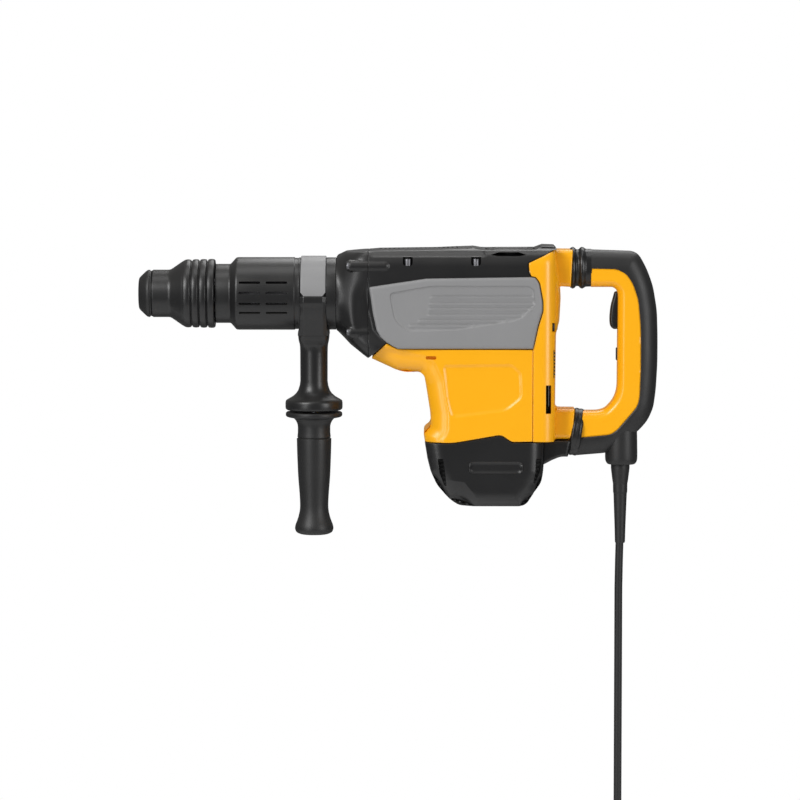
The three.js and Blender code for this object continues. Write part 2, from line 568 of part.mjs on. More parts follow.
// Levels of the cap's outline between the motor's lower edge (0) and the foot (1).
const capLevel = share => motor.bottom + (base.level - motor.bottom) * share;
const capOutline = [
  [124.4, motor.bottom - 1], [156.4, motor.bottom - 1], [206.3, motor.bottom + 7.7],
  [220, motor.bottom - 0.1], [motor.rear, motor.bottom - 0.2], [256.4, motor.bottom - 0.2],
  [255.6, capLevel(0.4918)],
  [253.5, capLevel(0.627)], [243.5, capLevel(0.862)], [237.8, base.level + 3, 2], [230.6, base.level],
  [182, base.level], [164.9, base.level + 1.5], [153.4, base.level + 7.2], [137.8, capLevel(0.6667)],
  [130.6, capLevel(0.4536)], [127, capLevel(0.2568)],
];
const tailOutline = [
  [250, motor.bottom - 0.2], [287.2, motor.bottom - 0.2], [283.7, -181], [275.5, -181.1], [266.6, -184.5],
  [256, -190.1], [250, -190.1],
];
const capInside = plate(inset(capOutline, WALL), -base.halfWidth + WALL, base.halfWidth - WALL, 2)
  .add(block([motor.front + 2, motor.rear - 4], [-base.halfWidth + 8, base.halfWidth - 8], [-185, -140]));
const frontVents = Array.from({ length: 4 }, (_, i) => -184 - i * 7.6).flatMap(z => [-1, 1].map(side =>
  block([136, 147.5], side > 0 ? [base.halfWidth - 8, 70] : [-70, 8 - base.halfWidth], [z - 2, z + 2])));
const rearVents = Array.from({ length: 4 }, (_, i) => -186 - i * 8.5).map(z =>
  block([245.5, 262], [-34, 34], [z - 2.2, z + 2.2]));
piece('end_cap', cut(
  join(plate(capOutline, -base.halfWidth, base.halfWidth, 5),
    plate(tailOutline, -rearWall.halfWidth, rearWall.halfWidth, 3)),
  capInside, ...frontVents, ...rearVents), 'black');

// ---- Rear shells --------------------------------------------------------------------------------

const rearOutline = [
  [motor.rear + GAP + 0.2, motor.bottom + 0.2], [motor.rear + GAP + 0.2, gear.bottom],
  [238, gear.bottom + 20], [238, 34], [266.4, gear.top + 0.2], [272, gear.top - 1], [274.4, 8.4],
  [274.4, -18.4], [rearWall.x - 0.3, -52.3], [rearWall.x - 0.9, -123.8], [rearWall.x, motor.bottom + 0.2],
];
const upperStub = [[262, gear.top + 0.2], [286, gear.top - 0.2], [286, 8.4], [262, 8.4]];
const lowerStub = [[258, -127.9], [291.2, -128.2], [286.2, motor.bottom + 0.4], [258, motor.bottom + 0.4]];
const speedDial = { x: 263.3, z: -37, radius: 9.6, width: 10 };
const ventPlate = { z: -75.5, height: 30, width: 34 };
const guideHole = 4.2;
const springAxis = 20;
const rearBlank = cut(
  join(plate(rearOutline, -motor.halfWidth, motor.halfWidth, 5),
    plate(upperStub, -rearWall.halfWidth, rearWall.halfWidth, 4),
    plate(lowerStub, -rearWall.halfWidth, rearWall.halfWidth, 4)),
  gearClearance,
  plate(inset(panelOutline, -GAP), -70, 70),
  block([200, motor.rear + GAP + 0.15], [-80, 80], [-200, gear.bottom + 3]),
  block([motor.rear, rearWall.x - 4.5], [-motor.halfWidth + WALL + 2, motor.halfWidth - WALL - 2],
    [-200, 4]),
  block([200, 282], [-rearWall.halfWidth + WALL, rearWall.halfWidth - WALL], [12.5, gear.top - WALL - 1]),
  block([200, 282], [-rearWall.halfWidth + WALL, rearWall.halfWidth - WALL], [-190, -132.2]),
  block([276, 300], [-7, 7], [pivot.z - 6.5, pivot.z + 6.5]),
  block([speedDial.x, 300], [-speedDial.width / 2 - 0.6, speedDial.width / 2 + 0.6],
    [speedDial.z - speedDial.radius - 1, speedDial.z + speedDial.radius + 1]),
  block([rearWall.x - 8, 300], [-ventPlate.width / 2 - GAP, ventPlate.width / 2 + GAP],
    [ventPlate.z - ventPlate.height / 2 - GAP, ventPlate.z + ventPlate.height / 2 + GAP]),
  rod(-60, 60, pivot.radius + GAP, 'y', [pivot.x, 0, pivot.z]),
  ...[-1, 1].map(side => block([258.5, 264.5], side > 0 ? [30, 80] : [-80, -30], [-130.6, -99.2])));
for (const [name, side] of [['rear_shell_left', -1], ['rear_shell_right', 1]]) {
  const half = block([200, 320], side > 0 ? [GAP / 2, 90] : [-90, -GAP / 2], [-250, 90]);
  piece(name, rearBlank.intersect(half), 'yellow');
}

piece('speed_dial', rod(-speedDial.width / 2, speedDial.width / 2, speedDial.radius, 'y',
  [speedDial.x, 0, speedDial.z], 24), 'black');
const ventSlots = Array.from({ length: 4 }, (_, i) => ventPlate.z - 10.5 + i * 7).map(z =>
  block([rearWall.x - 9, 300], [-ventPlate.width / 2 + 4, ventPlate.width / 2 - 4], [z - 1.4, z + 1.4]));
const ventBlank = block([rearWall.x - 4.2, rearWall.x - 1.2], [-ventPlate.width / 2, ventPlate.width / 2],
  [ventPlate.z - ventPlate.height / 2, ventPlate.z + ventPlate.height / 2]);
piece('rear_vent_plate', cut(ventBlank, ...ventSlots), 'black');
piece('control_module', block([motor.rear + 5, rearWall.x - 8], [-24, 24], [-135, -95]), 'circuit');
piece('pivot_pin', rod(-rearWall.halfWidth + 0.5, rearWall.halfWidth - 0.5, pivot.radius, 'y',
  [pivot.x, 0, pivot.z], 16), 'steel');

// ---- Motor --------------------------------------------------------------------------------------

const shaftRadius = 7;
piece('stator', turned([
  [windings.bottom, windings.coreRadius + 0.8], [windings.bottom, windings.statorRadius],
  [windings.top, windings.statorRadius], [windings.top, windings.coreRadius + 0.8],
  [windings.bottom, windings.coreRadius + 0.8],
].reverse(), 'z', [motor.axis, 0, 0]), 'darkSteel');
const coreSlots = Array.from({ length: 12 }, (_, i) => {
  const slot = new THREE.BoxGeometry(8, 2.6, 200);
  slot.translate(windings.coreRadius - 1, 0, windings.bottom).rotateZ(i * Math.PI / 6);
  return solid(slot.translate(motor.axis, 0, 0));
});
piece('armature_core', cut(ring(windings.bottom, windings.top, shaftRadius + GAP, windings.coreRadius, 'z',
  [motor.axis, 0, 0]), ...coreSlots), 'copper');
piece('armature_shaft', join(
  turned([
    [-186, 0], [-186, shaftRadius], [-36, shaftRadius], [-36, 5], [train.level + train.thickness + 1, 5],
    [train.level + train.thickness + 1, 0],
  ], 'z', [motor.axis, 0, 0]),
  spurGear(teeth.motorPinion, motorModule, Math.PI, 0, train.level, train.thickness, motor.axis)), 'steel');
piece('commutator', ring(-166, -148, shaftRadius + GAP, 16, 'z', [motor.axis, 0, 0], 24), 'copper');
for (const [name, side] of [['carbon_brush_left', -1], ['carbon_brush_right', 1]]) {
  const reach = side > 0 ? [16.5, 38] : [-38, -16.5];
  piece(name, block([motor.axis - 4, motor.axis + 4], reach, [-162, -152]), 'black');
}
const blades = Array.from({ length: 8 }, (_, i) => {
  const blade = new THREE.BoxGeometry(24, 2, 8);
  blade.translate(24, 0, -72).rotateZ(i * Math.PI / 4);
  return solid(blade.translate(motor.axis, 0, 0));
});
piece('cooling_fan', join(
  ring(-78, -68, shaftRadius + GAP, 14, 'z', [motor.axis, 0, 0]),
  ring(-70, -68, 12, 38, 'z', [motor.axis, 0, 0]), ...blades), 'black');
piece('upper_motor_bearing', ring(gear.bottom - 2, gear.bottom + 7, shaftRadius + GAP, bearingRadius, 'z',
  [motor.axis, 0, 0]), 'steel');
piece('lower_motor_bearing', ring(-184, -174, shaftRadius + GAP, bearingRadius, 'z', [motor.axis, 0, 0]),
  'steel');

// ---- D-handle -----------------------------------------------------------------------------------

const handleInner = [
  [handle.front - 7.3, -130.9], [320, -130.9, 4], [handle.innerRear - 5, -118.4, 4],
  [handle.innerRear, -107.6], [handle.innerRear, 3], [334.3, 8.1, 2], [handle.front, 8.1],
];
const handleSplit = [
  [handle.front, 28.9], [337.9, 28.3, 4], [348.5, 22.7], [355.7, 12], [362, -5.9], [364.8, -36.3],
  [365, -80.9], [363.8, -118.4], [361.1, -125.6, 3], [337.9, -152.3, 3], [330.7, -156.8],
  [handle.front - 12.3, -159.5],
];
const handleOuter = [
  [handle.front - 14.8, -180.9], [330, -178.2, 6], [362.9, -154.1], [373.6, -141.6], [379.8, -127.3],
  [382.5, -107.6], [handle.rear, -77.3], [handle.rear, -50], [383.4, -18.4], [379, 8.4], [371.8, 28],
  [363.5, handle.top - 6.4, 3], [355.7, handle.top - 2], [handle.front, handle.top],
];
const coreOutline = [...handleInner, ...handleSplit];
const overmouldOutline = [...handleOuter, ...handleSplit];
const trigger = { pivotX: 342, pivotZ: 3, front: 330.3, bottom: -39.9, halfWidth: 8, swing: 9 };
const triggerOutline = [
  [336, 2.5, 2], [331.4, -14], [trigger.front, -28], [331.2, -37], [335, trigger.bottom, 2],
  [341.2, trigger.bottom + 1], [341.2, 2.5],
];
const buttonHalf = 4.2;
const lockButton = { top: -60.4, bottom: -74.7, front: 337.6, rear: 344, travel: 3 };
const handleClearance = plate(inset(coreOutline, -GAP), -60, 60);
const coreBlank = cut(
  plate(coreOutline, -handle.halfWidth, handle.halfWidth, 5),
  plate(inset(coreOutline, WALL).map(([x, z]) => [x, z]), WALL - handle.halfWidth, handle.halfWidth - WALL),
  block([326, 352], [-trigger.halfWidth - 0.5, trigger.halfWidth + 0.5], [trigger.bottom - 1.5, 4]),
  block([326, 350], [-buttonHalf - 0.4, buttonHalf + 0.4], [lockButton.bottom - 0.5, lockButton.top + 0.5]),
  block([290, 314], [-7.6, 7.6], [springAxis - 6, springAxis + 6]),
  block([280, 300], [-6.3, 6.3], [pivot.z - 7, pivot.z + 7]));
// The tongue that hangs the handle on the pivot pin.
const pivotTongue = cut(
  plate(rectangle(pivot.x - 8, 312, pivot.z - 5.5, pivot.z + 5.5, 3), -5.5, 5.5),
  rod(-20, 20, pivot.radius + RUNNING, 'y', [pivot.x, 0, pivot.z]));
for (const [name, side] of [['handle_core_left', -1], ['handle_core_right', 1]]) {
  const half = block([200, 400], side > 0 ? [GAP / 2, 90] : [-90, -GAP / 2], [-250, 90]);
  piece(name, coreBlank.add(pivotTongue).intersect(half), 'yellow');
}
const leadBoss = { radius: 18, bottom: -191.4 };
piece('handle_overmould', cut(
  join(plate(overmouldOutline, -handle.overmouldHalfWidth, handle.overmouldHalfWidth, 5),
    rod(leadBoss.bottom, -150, leadBoss.radius, 'z', [344.2, 0, 0], 28)),
  handleClearance), 'rubber');
piece('trigger', plate(triggerOutline, -trigger.halfWidth, trigger.halfWidth, 1.5), 'black');
piece('switch_body', block([350, 359.5], [-11, 11], [-46, -8]), 'black');
piece('lock_button', plate(rectangle(lockButton.front, lockButton.rear, lockButton.bottom, lockButton.top, 1),
  -buttonHalf, buttonHalf), 'black');

// Rubber boots: ribbed rings of oval section around the gap between body and handle.
function boot(profile, x, z, acrossShare, tilt) {
  const geometry = new THREE.LatheGeometry(profile.map(([along, r]) => new THREE.Vector2(r, along)), ROUND);
  geometry.rotateZ(-Math.PI / 2).scale(1, acrossShare, 1).rotateY(tilt).translate(x, 0, z);
  return solid(geometry);
}
piece('upper_boot', boot([
  [-10.8, 17], [-10.8, 21.5], [-6.6, 23.6], [-2.4, 20.8], [-0.6, 20.8], [4.4, 23.6], [8.8, 20.8],
  [11.1, 20.8], [11.1, 17], [-10.8, 17],
], 297.4, 28.9, 0.93, 0), 'rubber');
piece('lower_boot', boot([
  [-4.2, 20], [-4.2, 24.5], [-2.4, 26.8], [2.4, 26.8], [4.2, 24.5], [4.2, 20], [-4.2, 20],
], 293.4, -155, 0.88, THREE.MathUtils.degToRad(8.8)), 'rubber');
piece('handle_spring', spring(286.6, 309, 5.2, 0.8, 5, [0, 0, springAxis]), 'steel');

// ---- Mains lead ---------------------------------------------------------------------------------

const leadRadius = lead.diameter / 2;
const leadX = lead.exitX;
piece('strain_relief', turned([
  [leadBoss.bottom - GAP, 0], [leadBoss.bottom - GAP, 10.6], [-215, 8.6], [-222, 8], [lead.exitZ, 5.6],
  [lead.exitZ, 0],
].reverse(), 'z', [leadX + 1.5, 0, 0], 20), 'rubber');

// The lead hangs straight down, turns above the floor and runs into the top outer turn of its coil.
const coilFloor = lead.floor + 1.8;
const coilX = leadX - coil.innerTurn - (coil.turnsAcross - 1) * lead.diameter;
const coilTop = coilFloor + coil.turnsHigh * lead.diameter;
const topTurn = coilTop - leadRadius;
const bend = 40;
const arc = (degrees) => {
  const angle = THREE.MathUtils.degToRad(degrees);
  return [leadX, bend * (1 - Math.cos(angle)), topTurn + bend * (1 - Math.sin(angle))];
};
const leadRoute = [
  [leadX + 1, 0, lead.exitZ - GAP], [leadX + 0.5, 0, -300], [leadX, 0, -330], [leadX, 0, -370],
  [leadX, 0, -410], [leadX, 0, -450], [leadX, 0, -490], [leadX, 0, -530], [leadX, 0, -560],
  arc(0), arc(15), arc(30), arc(45),
];
function cable(points, radius, steps) {
  const route = new THREE.CatmullRomCurve3(points.map(point => new THREE.Vector3(...point)));
  const section = new THREE.Shape(Array.from({ length: 10 }, (_, i) =>
    new THREE.Vector2(radius * Math.cos(i * Math.PI / 5), radius * Math.sin(i * Math.PI / 5))));
  return solid(new THREE.ExtrudeGeometry(section, { steps, extrudePath: route }));
}
piece('power_lead', cable(leadRoute, leadRadius, 18), 'rubber');

const coilInner = coil.innerTurn - leadRadius;
const coilOuter = coilInner + coil.turnsAcross * lead.diameter;
piece('lead_coil', turned([
  [coilFloor, coilInner], [coilFloor, coilOuter], [coilTop, coilOuter], [coilTop, coilInner],
  [coilFloor, coilInner],
].reverse(), 'z', [coilX, coil.y, 0]), 'rubber');

const tieBand = (offset) => rectangle(coilX - coilOuter - offset, coilX - coilInner + offset + 0.8,
  coilFloor - offset, coilTop + offset, 0);
piece('lead_tie', plate(tieBand(1.5), coil.y - 7, coil.y + 7)
  .subtract(plate(tieBand(0.8), coil.y - 10, coil.y + 10)), 'black');

// The lead leaves the coil's outer turn on the floor and ends in a two-pin plug.
const plug = { width: 20, length: 32, height: 16, relief: 32, bladeGap: 12.7, bladeLength: 17 };
const plugX = coilX - coilOuter + leadRadius;
const plugZ = coilFloor + leadRadius;
const reliefEnd = coil.y - Math.sqrt((coilOuter + leadRadius + 1) ** 2 - (coilOuter - leadRadius) ** 2);
const plugBack = reliefEnd - plug.relief;
const plugFront = plugBack - plug.length;
piece('lead_plug', join(
  block([plugX - plug.width / 2, plugX + plug.width / 2], [plugFront, plugBack],
    [lead.floor, lead.floor + plug.height]),
  turned([[plugBack - 1, 0], [plugBack - 1, 6], [reliefEnd, 5], [reliefEnd, 0]],
    'y', [plugX, 0, plugZ], SMALL),
  ...[-1, 1].map(side => plugX + side * plug.bladeGap / 2).map(x => block(
    [x - 0.8, x + 0.8], [plugFront - plug.bladeLength, plugFront + 1],
    [plugZ - 1.5, plugZ + 4.9]))), 'black');

export default hammer;
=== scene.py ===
# A heavy rotary and chipping hammer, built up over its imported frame: nose to the left, D-handle to
# the right, hanging upright from its side-handle clamp. Sizes are in millimetres unless a name says
# otherwise, in the frame's own axes: X runs back along the impact axis, Z is up.
import math

import bmesh
import bpy
import numpy as np
from mathutils import Matrix, Vector
from mathutils.geometry import delaunay_2d_cdt


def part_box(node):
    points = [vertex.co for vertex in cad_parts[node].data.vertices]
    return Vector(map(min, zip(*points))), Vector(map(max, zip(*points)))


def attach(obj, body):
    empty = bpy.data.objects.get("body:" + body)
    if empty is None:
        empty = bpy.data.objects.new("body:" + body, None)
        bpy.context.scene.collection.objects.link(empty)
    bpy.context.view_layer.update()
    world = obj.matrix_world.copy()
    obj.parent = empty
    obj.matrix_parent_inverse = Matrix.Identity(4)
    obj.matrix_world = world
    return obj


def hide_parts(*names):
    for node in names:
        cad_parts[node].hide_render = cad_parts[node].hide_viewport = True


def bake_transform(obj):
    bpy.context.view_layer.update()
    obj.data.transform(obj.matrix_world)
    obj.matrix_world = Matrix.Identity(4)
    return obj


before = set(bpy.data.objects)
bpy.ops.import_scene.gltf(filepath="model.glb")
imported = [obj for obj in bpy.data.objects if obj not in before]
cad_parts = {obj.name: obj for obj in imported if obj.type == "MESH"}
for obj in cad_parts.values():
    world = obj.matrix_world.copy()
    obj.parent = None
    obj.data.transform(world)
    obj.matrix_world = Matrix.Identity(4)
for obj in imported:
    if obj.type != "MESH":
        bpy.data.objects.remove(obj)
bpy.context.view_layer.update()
MM = 0.001


# ---- Camera -------------------------------------------------------------------------------------
# The tool is looked at square from its left side and from a little above the middle of the body.
# A long lens, so that the side reads almost as in a drawing.
view_centre = Vector((0.0963, 0, -0.1195))
view_distance, view_width = 4.8, 0.896
view_rise, view_sideways = math.radians(4.8), 0.008
camera_data = bpy.data.cameras.new("camera")
camera_data.sensor_width = 36
camera_data.lens = camera_data.sensor_width * view_distance / view_width
camera = bpy.data.objects.new("camera", camera_data)
bpy.context.scene.collection.objects.link(camera)
camera.location = view_centre + view_distance * Vector((
    view_sideways, -math.cos(view_rise), math.sin(view_rise)))
camera.rotation_euler = (view_centre - camera.location).to_track_quat("-Z", "Y").to_euler()
bpy.context.scene.camera = camera
bpy.context.scene.view_settings.view_transform = "Standard"


# ---- Mains lead ---------------------------------------------------------------------------------
# Rubber-sheathed flexible lead, 9 mm across and 2.5 m long. It hangs straight down from the strain
# relief and is wound up below the tool, two turns across and four high, starting on the outer turn.
def nodes_of(material):
    """A material's node tree and its shader node."""
    tree = material.node_tree
    shader = next(n for n in tree.nodes if n.type == "BSDF_PRINCIPLED")
    return tree, shader


def node_group(name, inputs, outputs):
    """An empty shader node group with named sockets: its tree, its input node and output node."""
    group = bpy.data.node_groups.new(name, "ShaderNodeTree")
    for socket, kind, value in inputs:
        made = group.interface.new_socket(name=socket, in_out="INPUT", socket_type=kind)
        made.default_value = value
    for socket, kind in outputs:
        group.interface.new_socket(name=socket, in_out="OUTPUT", socket_type=kind)
    return group, group.nodes.new("NodeGroupInput"), group.nodes.new("NodeGroupOutput")


def wire(tree, kind, settings=None, **sockets):
    """Adds one node: sockets are linked when given an output socket, and set when given a value."""
    made = tree.nodes.new(kind)
    for key, value in (settings or {}).items():
        setattr(made, key, value)
    for key, value in sockets.items():
        socket = made.inputs[int(key[1:])] if key[0] == "i" and key[1:].isdigit() else made.inputs[key]
        if isinstance(value, bpy.types.NodeSocket):
            tree.links.new(value, socket)
        else:
            socket.default_value = value
    return made


def maths(tree, operation, *values, clamp=False):
    """The result of one maths node; each value is a number or another node's output."""
    made = wire(tree, "ShaderNodeMath", {"operation": operation, "use_clamp": clamp},
                **{f"i{i}": value for i, value in enumerate(values)})
    return made.outputs[0]


# Moulded surface: a slow drift of the colour, patches that shine a little more, and a fine grain.
FLOAT, COLOUR = "NodeSocketFloat", "NodeSocketColor"
surface, given, put_out = node_group(
    "moulded_surface",
    [("Colour", COLOUR, (1, 1, 1, 1)), ("Drift", FLOAT, 0.1), ("Roughness", FLOAT, 0.5),
     ("Patches", FLOAT, 0.1), ("Grain Scale", FLOAT, 900), ("Dust", FLOAT, 0.0)],
    [("Colour", COLOUR), ("Roughness", FLOAT), ("Height", FLOAT)])
place = wire(surface, "ShaderNodeTexCoord").outputs["Object"]
slow = wire(surface, "ShaderNodeTexNoise", Vector=place, Scale=22.0, Detail=3.0)
fine = wire(surface, "ShaderNodeTexNoise", Vector=place, Scale=given.outputs["Grain Scale"], Detail=2.0)
pits = wire(surface, "ShaderNodeTexVoronoi", Vector=place, Scale=given.outputs["Grain Scale"])
wander = slow.outputs["Fac"]
half_drift = maths(surface, "MULTIPLY", given.outputs["Drift"], 0.5)
raised = maths(surface, "MULTIPLY_ADD", wander, given.outputs["Drift"], 1.0)
drift = maths(surface, "SUBTRACT", raised, half_drift)
shade = wire(surface, "ShaderNodeVectorMath", {"operation": "SCALE"},
             Vector=given.outputs["Colour"], Scale=drift)
upward = wire(surface, "ShaderNodeSeparateXYZ",
              Vector=wire(surface, "ShaderNodeNewGeometry").outputs["Normal"])
settled = maths(surface, "MULTIPLY", upward.outputs["Z"], wander, clamp=True)
dusty = maths(surface, "MULTIPLY", settled, given.outputs["Dust"], clamp=True)
dusted = wire(surface, "ShaderNodeMix", {"data_type": "RGBA"}, i0=dusty,
              i6=shade.outputs[0], i7=(0.42, 0.40, 0.37, 1))
patch = maths(surface, "MULTIPLY_ADD", wander, given.outputs["Patches"], given.outputs["Roughness"])
grain = maths(surface, "ADD", fine.outputs["Fac"], pits.outputs["Distance"])
for source, socket in ((dusted.outputs[2], "Colour"), (patch, "Roughness"), (grain, "Height")):
    surface.links.new(source, put_out.inputs[socket])


def grouped(name, group, relief, values):
    """A material fed by a node group, and its shader; relief is its bump's height in millimetres."""
    material = bpy.data.materials.new(name)
    material.use_nodes = True
    tree, shader = nodes_of(material)
    skin = tree.nodes.new("ShaderNodeGroup")
    skin.node_tree = group
    for socket, value in values.items():
        skin.inputs[socket].default_value = value
    bump = tree.nodes.new("ShaderNodeBump")
    bump.inputs["Distance"].default_value = relief * MM
    tree.links.new(skin.outputs["Height"], bump.inputs["Height"])
    tree.links.new(bump.outputs["Normal"], shader.inputs["Normal"])
    tree.links.new(skin.outputs["Colour"], shader.inputs["Base Color"])
    tree.links.new(skin.outputs["Roughness"], shader.inputs["Roughness"])
    return material, shader


def moulded(name, colour, roughness, drift=0.1, patches=0.1, grain=900.0, relief=0.02, dust=0.0):
    """A moulded plastic or rubber: relief is how deep its grain is, in millimetres."""
    return grouped(name, surface, relief, {
        "Colour": (*colour, 1), "Drift": drift, "Roughness": roughness - patches / 2,
        "Patches": patches, "Grain Scale": grain, "Dust": dust})[0]


lead_sheath = moulded("lead_sheath", (0.007, 0.007, 0.0073), 0.5, grain=700.0, relief=0.04)

lead_diameter, lead_length = 9.0, 2540.0
lead_x, lead_exit, lead_floor = 341.7, -280.0, -660.0
inner_turn, coil_y, tie_thickness = 40.5, 40.0, 1.8
turn_cells = [(1, 0), (0, 0), (0, 1), (1, 1), (1, 2), (0, 2), (0, 3), (1, 3)]  # (across, down)
outer_turn = inner_turn + lead_diameter
coil_x = lead_x - outer_turn
coil_floor = lead_floor + tie_thickness
coil_top = coil_floor + 4 * lead_diameter
top_turn = coil_top - lead_diameter / 2
bend = 40.0
wound = 2700  # degrees wound up: seven and a half turns
crossing = 70  # degrees over which the lead moves from one cell to the next
route = [(lead_x + 1.2, 0, lead_exit + 6), (lead_x + 1, 0, lead_exit - 0.3), (lead_x + 0.5, 0, -300)]
route += [(lead_x, 0, z) for z in (-330, -370, -410, -450, -490, -530, -560)]
for degrees in (0, 15, 30, 45, 60, 75):
    phi = math.radians(degrees)
    route.append((lead_x, bend * (1 - math.cos(phi)), top_turn + bend * (1 - math.sin(phi))))
turn_length = wound / len(turn_cells)
for degrees in range(0, wound + 1, 9):
    passed = min(int(degrees / turn_length + 0.5), len(turn_cells) - 1)
    across, down = turn_cells[passed]
    if passed:
        share = min(max((degrees - passed * turn_length) / crossing + 0.5, 0), 1)
        share = share * share * (3 - 2 * share)
        before = turn_cells[passed - 1]
        across = before[0] + (across - before[0]) * share
        down = before[1] + (down - before[1]) * share
    radius = inner_turn + across * lead_diameter
    route.append((coil_x + radius * math.cos(math.radians(degrees)),
                  coil_y + radius * math.sin(math.radians(degrees)),
                  top_turn - down * lead_diameter))
plug_x, plug_z = coil_x - outer_turn, coil_floor + lead_diameter / 2
relief_end = coil_y - math.sqrt((outer_turn + lead_diameter + 1) ** 2 - outer_turn ** 2)
route += [(plug_x, y, plug_z) for y in (32.0, 24.0, 16.0, relief_end, relief_end - 5)]
lead_curve = bpy.data.curves.new("mains_lead", "CURVE")
lead_curve.dimensions = "3D"
lead_curve.bevel_depth = lead_diameter / 2 * MM
lead_curve.bevel_resolution = 5
lead_curve.use_fill_caps = True
line = lead_curve.splines.new("POLY")
line.points.add(len(route) - 1)
for point, (x, y, z) in zip(line.points, route):
    point.co = (x * MM, y * MM, z * MM, 1)
line.use_smooth = True
mains_lead = bpy.data.objects.new("mains_lead", lead_curve)
bpy.context.scene.collection.objects.link(mains_lead)
mains_lead.data.materials.append(lead_sheath)
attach(mains_lead, "rear_handle")
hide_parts("power_lead", "lead_coil")


# ---- Plug and tie -------------------------------------------------------------------------------
# A moulded two-pin plug with a tapered sleeve, and a black hook-and-loop band around the windings.
# Both are soft rubber and nylon; the blades are brass, pressed into the plug's face.
def mesh_piece(name, points, faces, material=None, smooth=40):
    """An object from points in millimetres; edges sharper than 'smooth' degrees stay crisp."""
    mesh = bpy.data.meshes.new(name)
    mesh.from_pydata([tuple(MM * c for c in p) for p in points], [], [tuple(f) for f in faces])
    tidy = bmesh.new()
    tidy.from_mesh(mesh)
    bmesh.ops.remove_doubles(tidy, verts=tidy.verts, dist=1e-6)
    bmesh.ops.recalc_face_normals(tidy, faces=tidy.faces)
    tidy.to_mesh(mesh)
    tidy.free()
    piece = bpy.data.objects.new(name, mesh)
    bpy.context.scene.collection.objects.link(piece)
    if material:
        mesh.materials.append(material)
    return shaded(piece, smooth)


def shaded(piece, smooth=40):
    piece.data.polygons.foreach_set("use_smooth", [True] * len(piece.data.polygons))
    piece.data.set_sharp_from_angle(angle=math.radians(smooth))
    return piece


def loft(name, rings, material=None, smooth=40):
    """Closed rings of the same number of points, joined one to the next and capped at both ends."""
    count = len(rings[0])
    points = [p for ring in rings for p in ring]
    faces = [(r * count + i, r * count + (i + 1) % count, (r + 1) * count + (i + 1) % count,
              (r + 1) * count + i) for r in range(len(rings) - 1) for i in range(count)]
    faces += [tuple(range(count)), tuple(range((len(rings) - 1) * count, len(rings) * count))]
    return mesh_piece(name, points, faces, material, smooth)


def box_ring(centre, half_a, half_b, power, count, level, axis="y"):
    """A rounded-box outline, |a|^power + |b|^power = 1, at one level along an axis, Y or Z."""
    ring = []
    for i in range(count):
        angle = 2 * math.pi * (i + 0.5) / count
        c, s = math.cos(angle), math.sin(angle)
        a = math.copysign(abs(c) ** (2 / power), c) * half_a + centre[0]
        b = math.copysign(abs(s) ** (2 / power), s) * half_b + centre[1]
        ring.append((a, level, b) if axis == "y" else (a, b, level))
    return ring


def applied(piece):
    """Puts the result of the piece's modifiers in its mesh."""
    bpy.context.view_layer.update()
    evaluated = piece.evaluated_get(bpy.context.evaluated_depsgraph_get())
    made = bpy.data.meshes.new_from_object(evaluated)
    piece.modifiers.clear()
    piece.data = made
    return piece


def softened(piece, width):
    """Rounds every crisp edge of a piece, over that width."""
    bevel = piece.modifiers.new("edges", "BEVEL")
    bevel.width = width * MM
    bevel.segments = 3
    bevel.limit_method = "ANGLE"
    bevel.angle_limit = math.radians(30)
    bevel.use_clamp_overlap = True
    return shaded(applied(piece))


def block(name, x, y, z, material=None, edge=0.0):
    """A block from its low and high ends along each axis, with its edges rounded."""
    points = [(x[i], y[j], z[k]) for i in (0, 1) for j in (0, 1) for k in (0, 1)]
    faces = [(0, 1, 3, 2), (4, 6, 7, 5), (0, 4, 5, 1), (2, 3, 7, 6), (0, 2, 6, 4), (1, 5, 7, 3)]
    piece = mesh_piece(name, points, faces, material)
    return softened(piece, edge) if edge else piece


def joined(name, *pieces):
    """One object from several, which keep their materials."""
    with bpy.context.temp_override(active_object=pieces[0], selected_editable_objects=list(pieces)):
        bpy.ops.object.join()
    pieces[0].name = pieces[0].data.name = name
    return pieces[0]


def finished(piece, body, slot, *replaced):
    """The last step for each piece: the body it rides on, and what it stands for; 'slot', its finish, is not
    used.
    """
    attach(piece, body)
    if replaced:
        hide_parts(*replaced)
    return piece


def metal(name, colour, roughness, streak_scale=(1.0, 1.0, 60.0), spread=0.15, tone=0.2):
    """A bare metal: turning or brushing marks change its shine and its tone a little."""
    material, shader = grouped(name, metal_marks, 0.02, {
        "Colour": (*colour, 1), "Tone": tone, "Roughness": roughness, "Spread": spread,
        "Stretch": streak_scale})
    shader.inputs["Metallic"].default_value = 1.0
    return material


metal_marks, given, put_out = node_group(
    "metal_marks",
    [("Colour", COLOUR, (0.6, 0.6, 0.6, 1)), ("Tone", FLOAT, 0.2), ("Roughness", FLOAT, 0.3),
     ("Spread", FLOAT, 0.15), ("Stretch", "NodeSocketVector", (1, 1, 60))],
    [("Colour", COLOUR), ("Roughness", FLOAT), ("Height", FLOAT)])
place = wire(metal_marks, "ShaderNodeTexCoord").outputs["Object"]
stretched = wire(metal_marks, "ShaderNodeVectorMath", {"operation": "MULTIPLY"},
                 i0=place, i1=given.outputs["Stretch"])
streaks = wire(metal_marks, "ShaderNodeTexNoise", Vector=stretched.outputs[0], Scale=60.0, Detail=4.0)
toned = maths(metal_marks, "MULTIPLY", streaks.outputs["Fac"], given.outputs["Tone"])
lighter = maths(metal_marks, "ADD", toned, 0.9)
shade = wire(metal_marks, "ShaderNodeVectorMath", {"operation": "SCALE"},
             Vector=given.outputs["Colour"], Scale=lighter)
dull = maths(metal_marks, "MULTIPLY_ADD", streaks.outputs["Fac"], given.outputs["Spread"],
             given.outputs["Roughness"])
